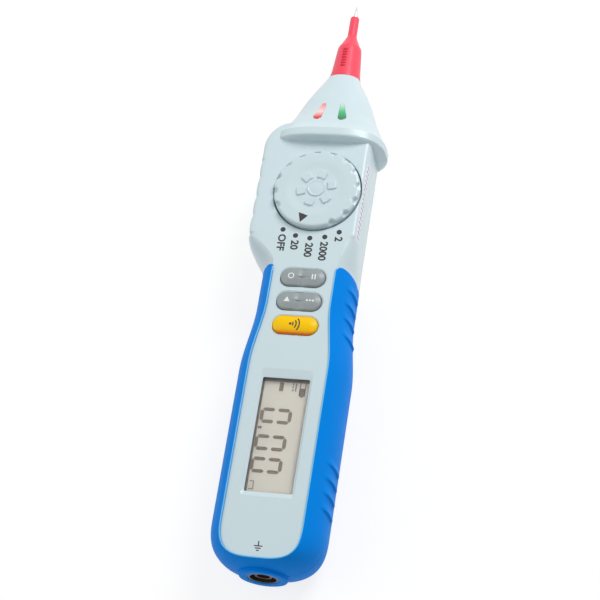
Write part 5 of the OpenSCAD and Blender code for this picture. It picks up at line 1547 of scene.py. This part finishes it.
def build_camera(scene):
    """Camera at the photograph's place, turned by its three axes."""
    camera = bpy.data.cameras.new("camera")
    camera.lens, camera.sensor_width = CAMERA_LENS, 36.0
    camera.clip_start, camera.clip_end = 0.01, 20.0
    eye = bpy.data.objects.new("camera", camera)
    turn = Matrix([Vector(axis).normalized() for axis in CAMERA_AXES]).transposed().to_4x4()
    eye.matrix_world = Matrix.Translation(Vector(CAMERA_AT) * MM) @ turn
    scene.collection.objects.link(eye)
    scene.camera = eye


def build_world(scene):
    """White to the camera and in reflections, and a soft even light on the object."""
    scene.world = bpy.data.worlds.new("studio")
    scene.world.use_nodes = True
    tree = scene.world.node_tree
    tree.nodes.clear()
    soft, white = (wire(tree, "ShaderNodeBackground", {"Color": (1, 1, 1, 1), "Strength": strength}).outputs[0]
                   for strength in (WORLD_LIGHT, 1.0))
    mix = wire(tree, "ShaderNodeMixShader", {0: seen_rays(tree), 1: soft, 2: white})
    wire(tree, "ShaderNodeOutputWorld", {"Surface": mix.outputs[0]})


def build_stage():
    """Floor, camera, world and lamps."""
    scene = bpy.context.scene
    scene.view_settings.view_transform = "Standard"
    build_camera(scene)
    corners = ((-1, -1), (1, -1), (1, 1), (-1, 1))
    put_mesh("floor", [(FLOOR_HALF * x, FLOOR_HALF * y, FLOOR_Z) for x, y in corners], [[0, 1, 2, 3]],
                      pale_floor())
    build_world(scene)
    for name, spot, size, watts in LAMPS:
        light = bpy.data.lights.new(name, "AREA")
        light.energy, light.size = watts, size
        lamp = bpy.data.objects.new(name, light)
        lamp.location = Vector(spot) * MM
        lamp.rotation_euler = (Vector((0, 0, AIM_Z)) * MM - lamp.location).to_track_quat("-Z", "Y").to_euler()
        scene.collection.objects.link(lamp)


# ---------------------------------------------------------------- operators

class METER_OT_front_shell(bpy.types.Operator):
    """Builds the front housing with its window, key holes, dial well and lamp slots."""
    bl_idname = "meter.front_shell"
    bl_label = "Front shell"

    def execute(self, context):
        build_front_shell()
        return {"FINISHED"}


class METER_OT_rear_shell(bpy.types.Operator):
    """Builds the rear housing with its battery bay and screw holes."""
    bl_idname = "meter.rear_shell"
    bl_label = "Rear shell"

    def execute(self, context):
        build_rear_shell()
        return {"FINISHED"}


class METER_OT_grips(bpy.types.Operator):
    """Builds the two halves of the blue ribbed grip with the socket's collar."""
    bl_idname = "meter.grips"
    bl_label = "Grips"

    def execute(self, context):
        build_grip(True)
        build_grip(False)
        build_grip_highlight_bead()
        return {"FINISHED"}


class METER_OT_dial(bpy.types.Operator):
    """Builds the fluted dial with its dish, pads and hub."""
    bl_idname = "meter.dial"
    bl_label = "Range dial"

    def execute(self, context):
        build_dial()
        return {"FINISHED"}


class METER_OT_keys(bpy.types.Operator):
    """Builds the two grey rocker keys and the yellow key."""
    bl_idname = "meter.keys"
    bl_label = "Keys"

    def execute(self, context):
        build_keys()
        return {"FINISHED"}


class METER_OT_probe(bpy.types.Operator):
    """Builds the needle, its brass sleeve and the red pull-off guard."""
    bl_idname = "meter.probe"
    bl_label = "Probe"

    def execute(self, context):
        build_tip_guard()
        build_probe()
        return {"FINISHED"}


class METER_OT_lamps(bpy.types.Operator):
    """Builds the red and green lamp windows."""
    bl_idname = "meter.lamps"
    bl_label = "Lamp windows"

    def execute(self, context):
        build_lenses()
        return {"FINISHED"}


class METER_OT_display(bpy.types.Operator):
    """Builds the clear window and the display's figures and signs."""
    bl_idname = "meter.display"
    bl_label = "Display"

    def execute(self, context):
        build_display()
        return {"FINISHED"}


class METER_OT_prints(bpy.types.Operator):
    """Lays the dots, figures and signs on the face, the dial and the keys."""
    bl_idname = "meter.prints"
    bl_label = "Prints"

    def execute(self, context):
        build_prints()
        return {"FINISHED"}


class METER_OT_back(bpy.types.Operator):
    """Builds the battery cover, its screws and the case screws."""
    bl_idname = "meter.back"
    bl_label = "Battery cover and screws"

    def execute(self, context):
        build_back()
        return {"FINISHED"}


class METER_OT_battery(bpy.types.Operator):
    """Builds the two cells and their coil springs."""
    bl_idname = "meter.battery"
    bl_label = "Cells"

    def execute(self, context):
        build_battery()
        return {"FINISHED"}


class METER_OT_mechanism(bpy.types.Operator):
    """Builds the detent coils and the dial's screw."""
    bl_idname = "meter.mechanism"
    bl_label = "Dial mechanism"

    def execute(self, context):
        build_mechanism()
        return {"FINISHED"}


class METER_OT_inner(bpy.types.Operator):
    """Gives each inner part of the frame its finish."""
    bl_idname = "meter.inner"
    bl_label = "Inner parts"

    def execute(self, context):
        dress_inner_nodes()
        return {"FINISHED"}


class METER_OT_stage(bpy.types.Operator):
    """Builds the floor, the lamps, the world and the camera."""
    bl_idname = "meter.stage"
    bl_label = "Stage"

    def execute(self, context):
        build_stage()
        return {"FINISHED"}


OPERATORS = (METER_OT_front_shell, METER_OT_rear_shell, METER_OT_grips, METER_OT_dial, METER_OT_keys, METER_OT_probe,
             METER_OT_lamps, METER_OT_display, METER_OT_prints, METER_OT_back, METER_OT_battery, METER_OT_mechanism,
             METER_OT_inner, METER_OT_stage)


class METER_PT_panel(bpy.types.Panel):
    """Lists the settings and the steps that build the meter."""
    bl_label = "Pen multimeter"
    bl_space_type = "VIEW_3D"
    bl_region_type = "UI"
    bl_category = "Meter"

    def draw(self, context):
        for settings in (context.scene.meter_sizes, context.scene.meter_colours):
            box = self.layout.box()
            for key in settings.__annotations__:
                box.prop(settings, key)
        for step in OPERATORS:
            self.layout.operator(step.bl_idname)


CLASSES = (MeterSizes, MeterColours, *OPERATORS, METER_PT_panel)


def register():
    for item in CLASSES:
        bpy.utils.register_class(item)
    bpy.types.Scene.meter_sizes = bpy.props.PointerProperty(type=MeterSizes)
    bpy.types.Scene.meter_colours = bpy.props.PointerProperty(type=MeterColours)


def unregister():
    del bpy.types.Scene.meter_colours
    del bpy.types.Scene.meter_sizes
    for item in reversed(CLASSES):
        bpy.utils.unregister_class(item)


def main():
    register()
    for step in OPERATORS:
        group, name = step.bl_idname.split(".")
        getattr(getattr(bpy.ops, group), name)()


if __name__ == "__main__":
    main()
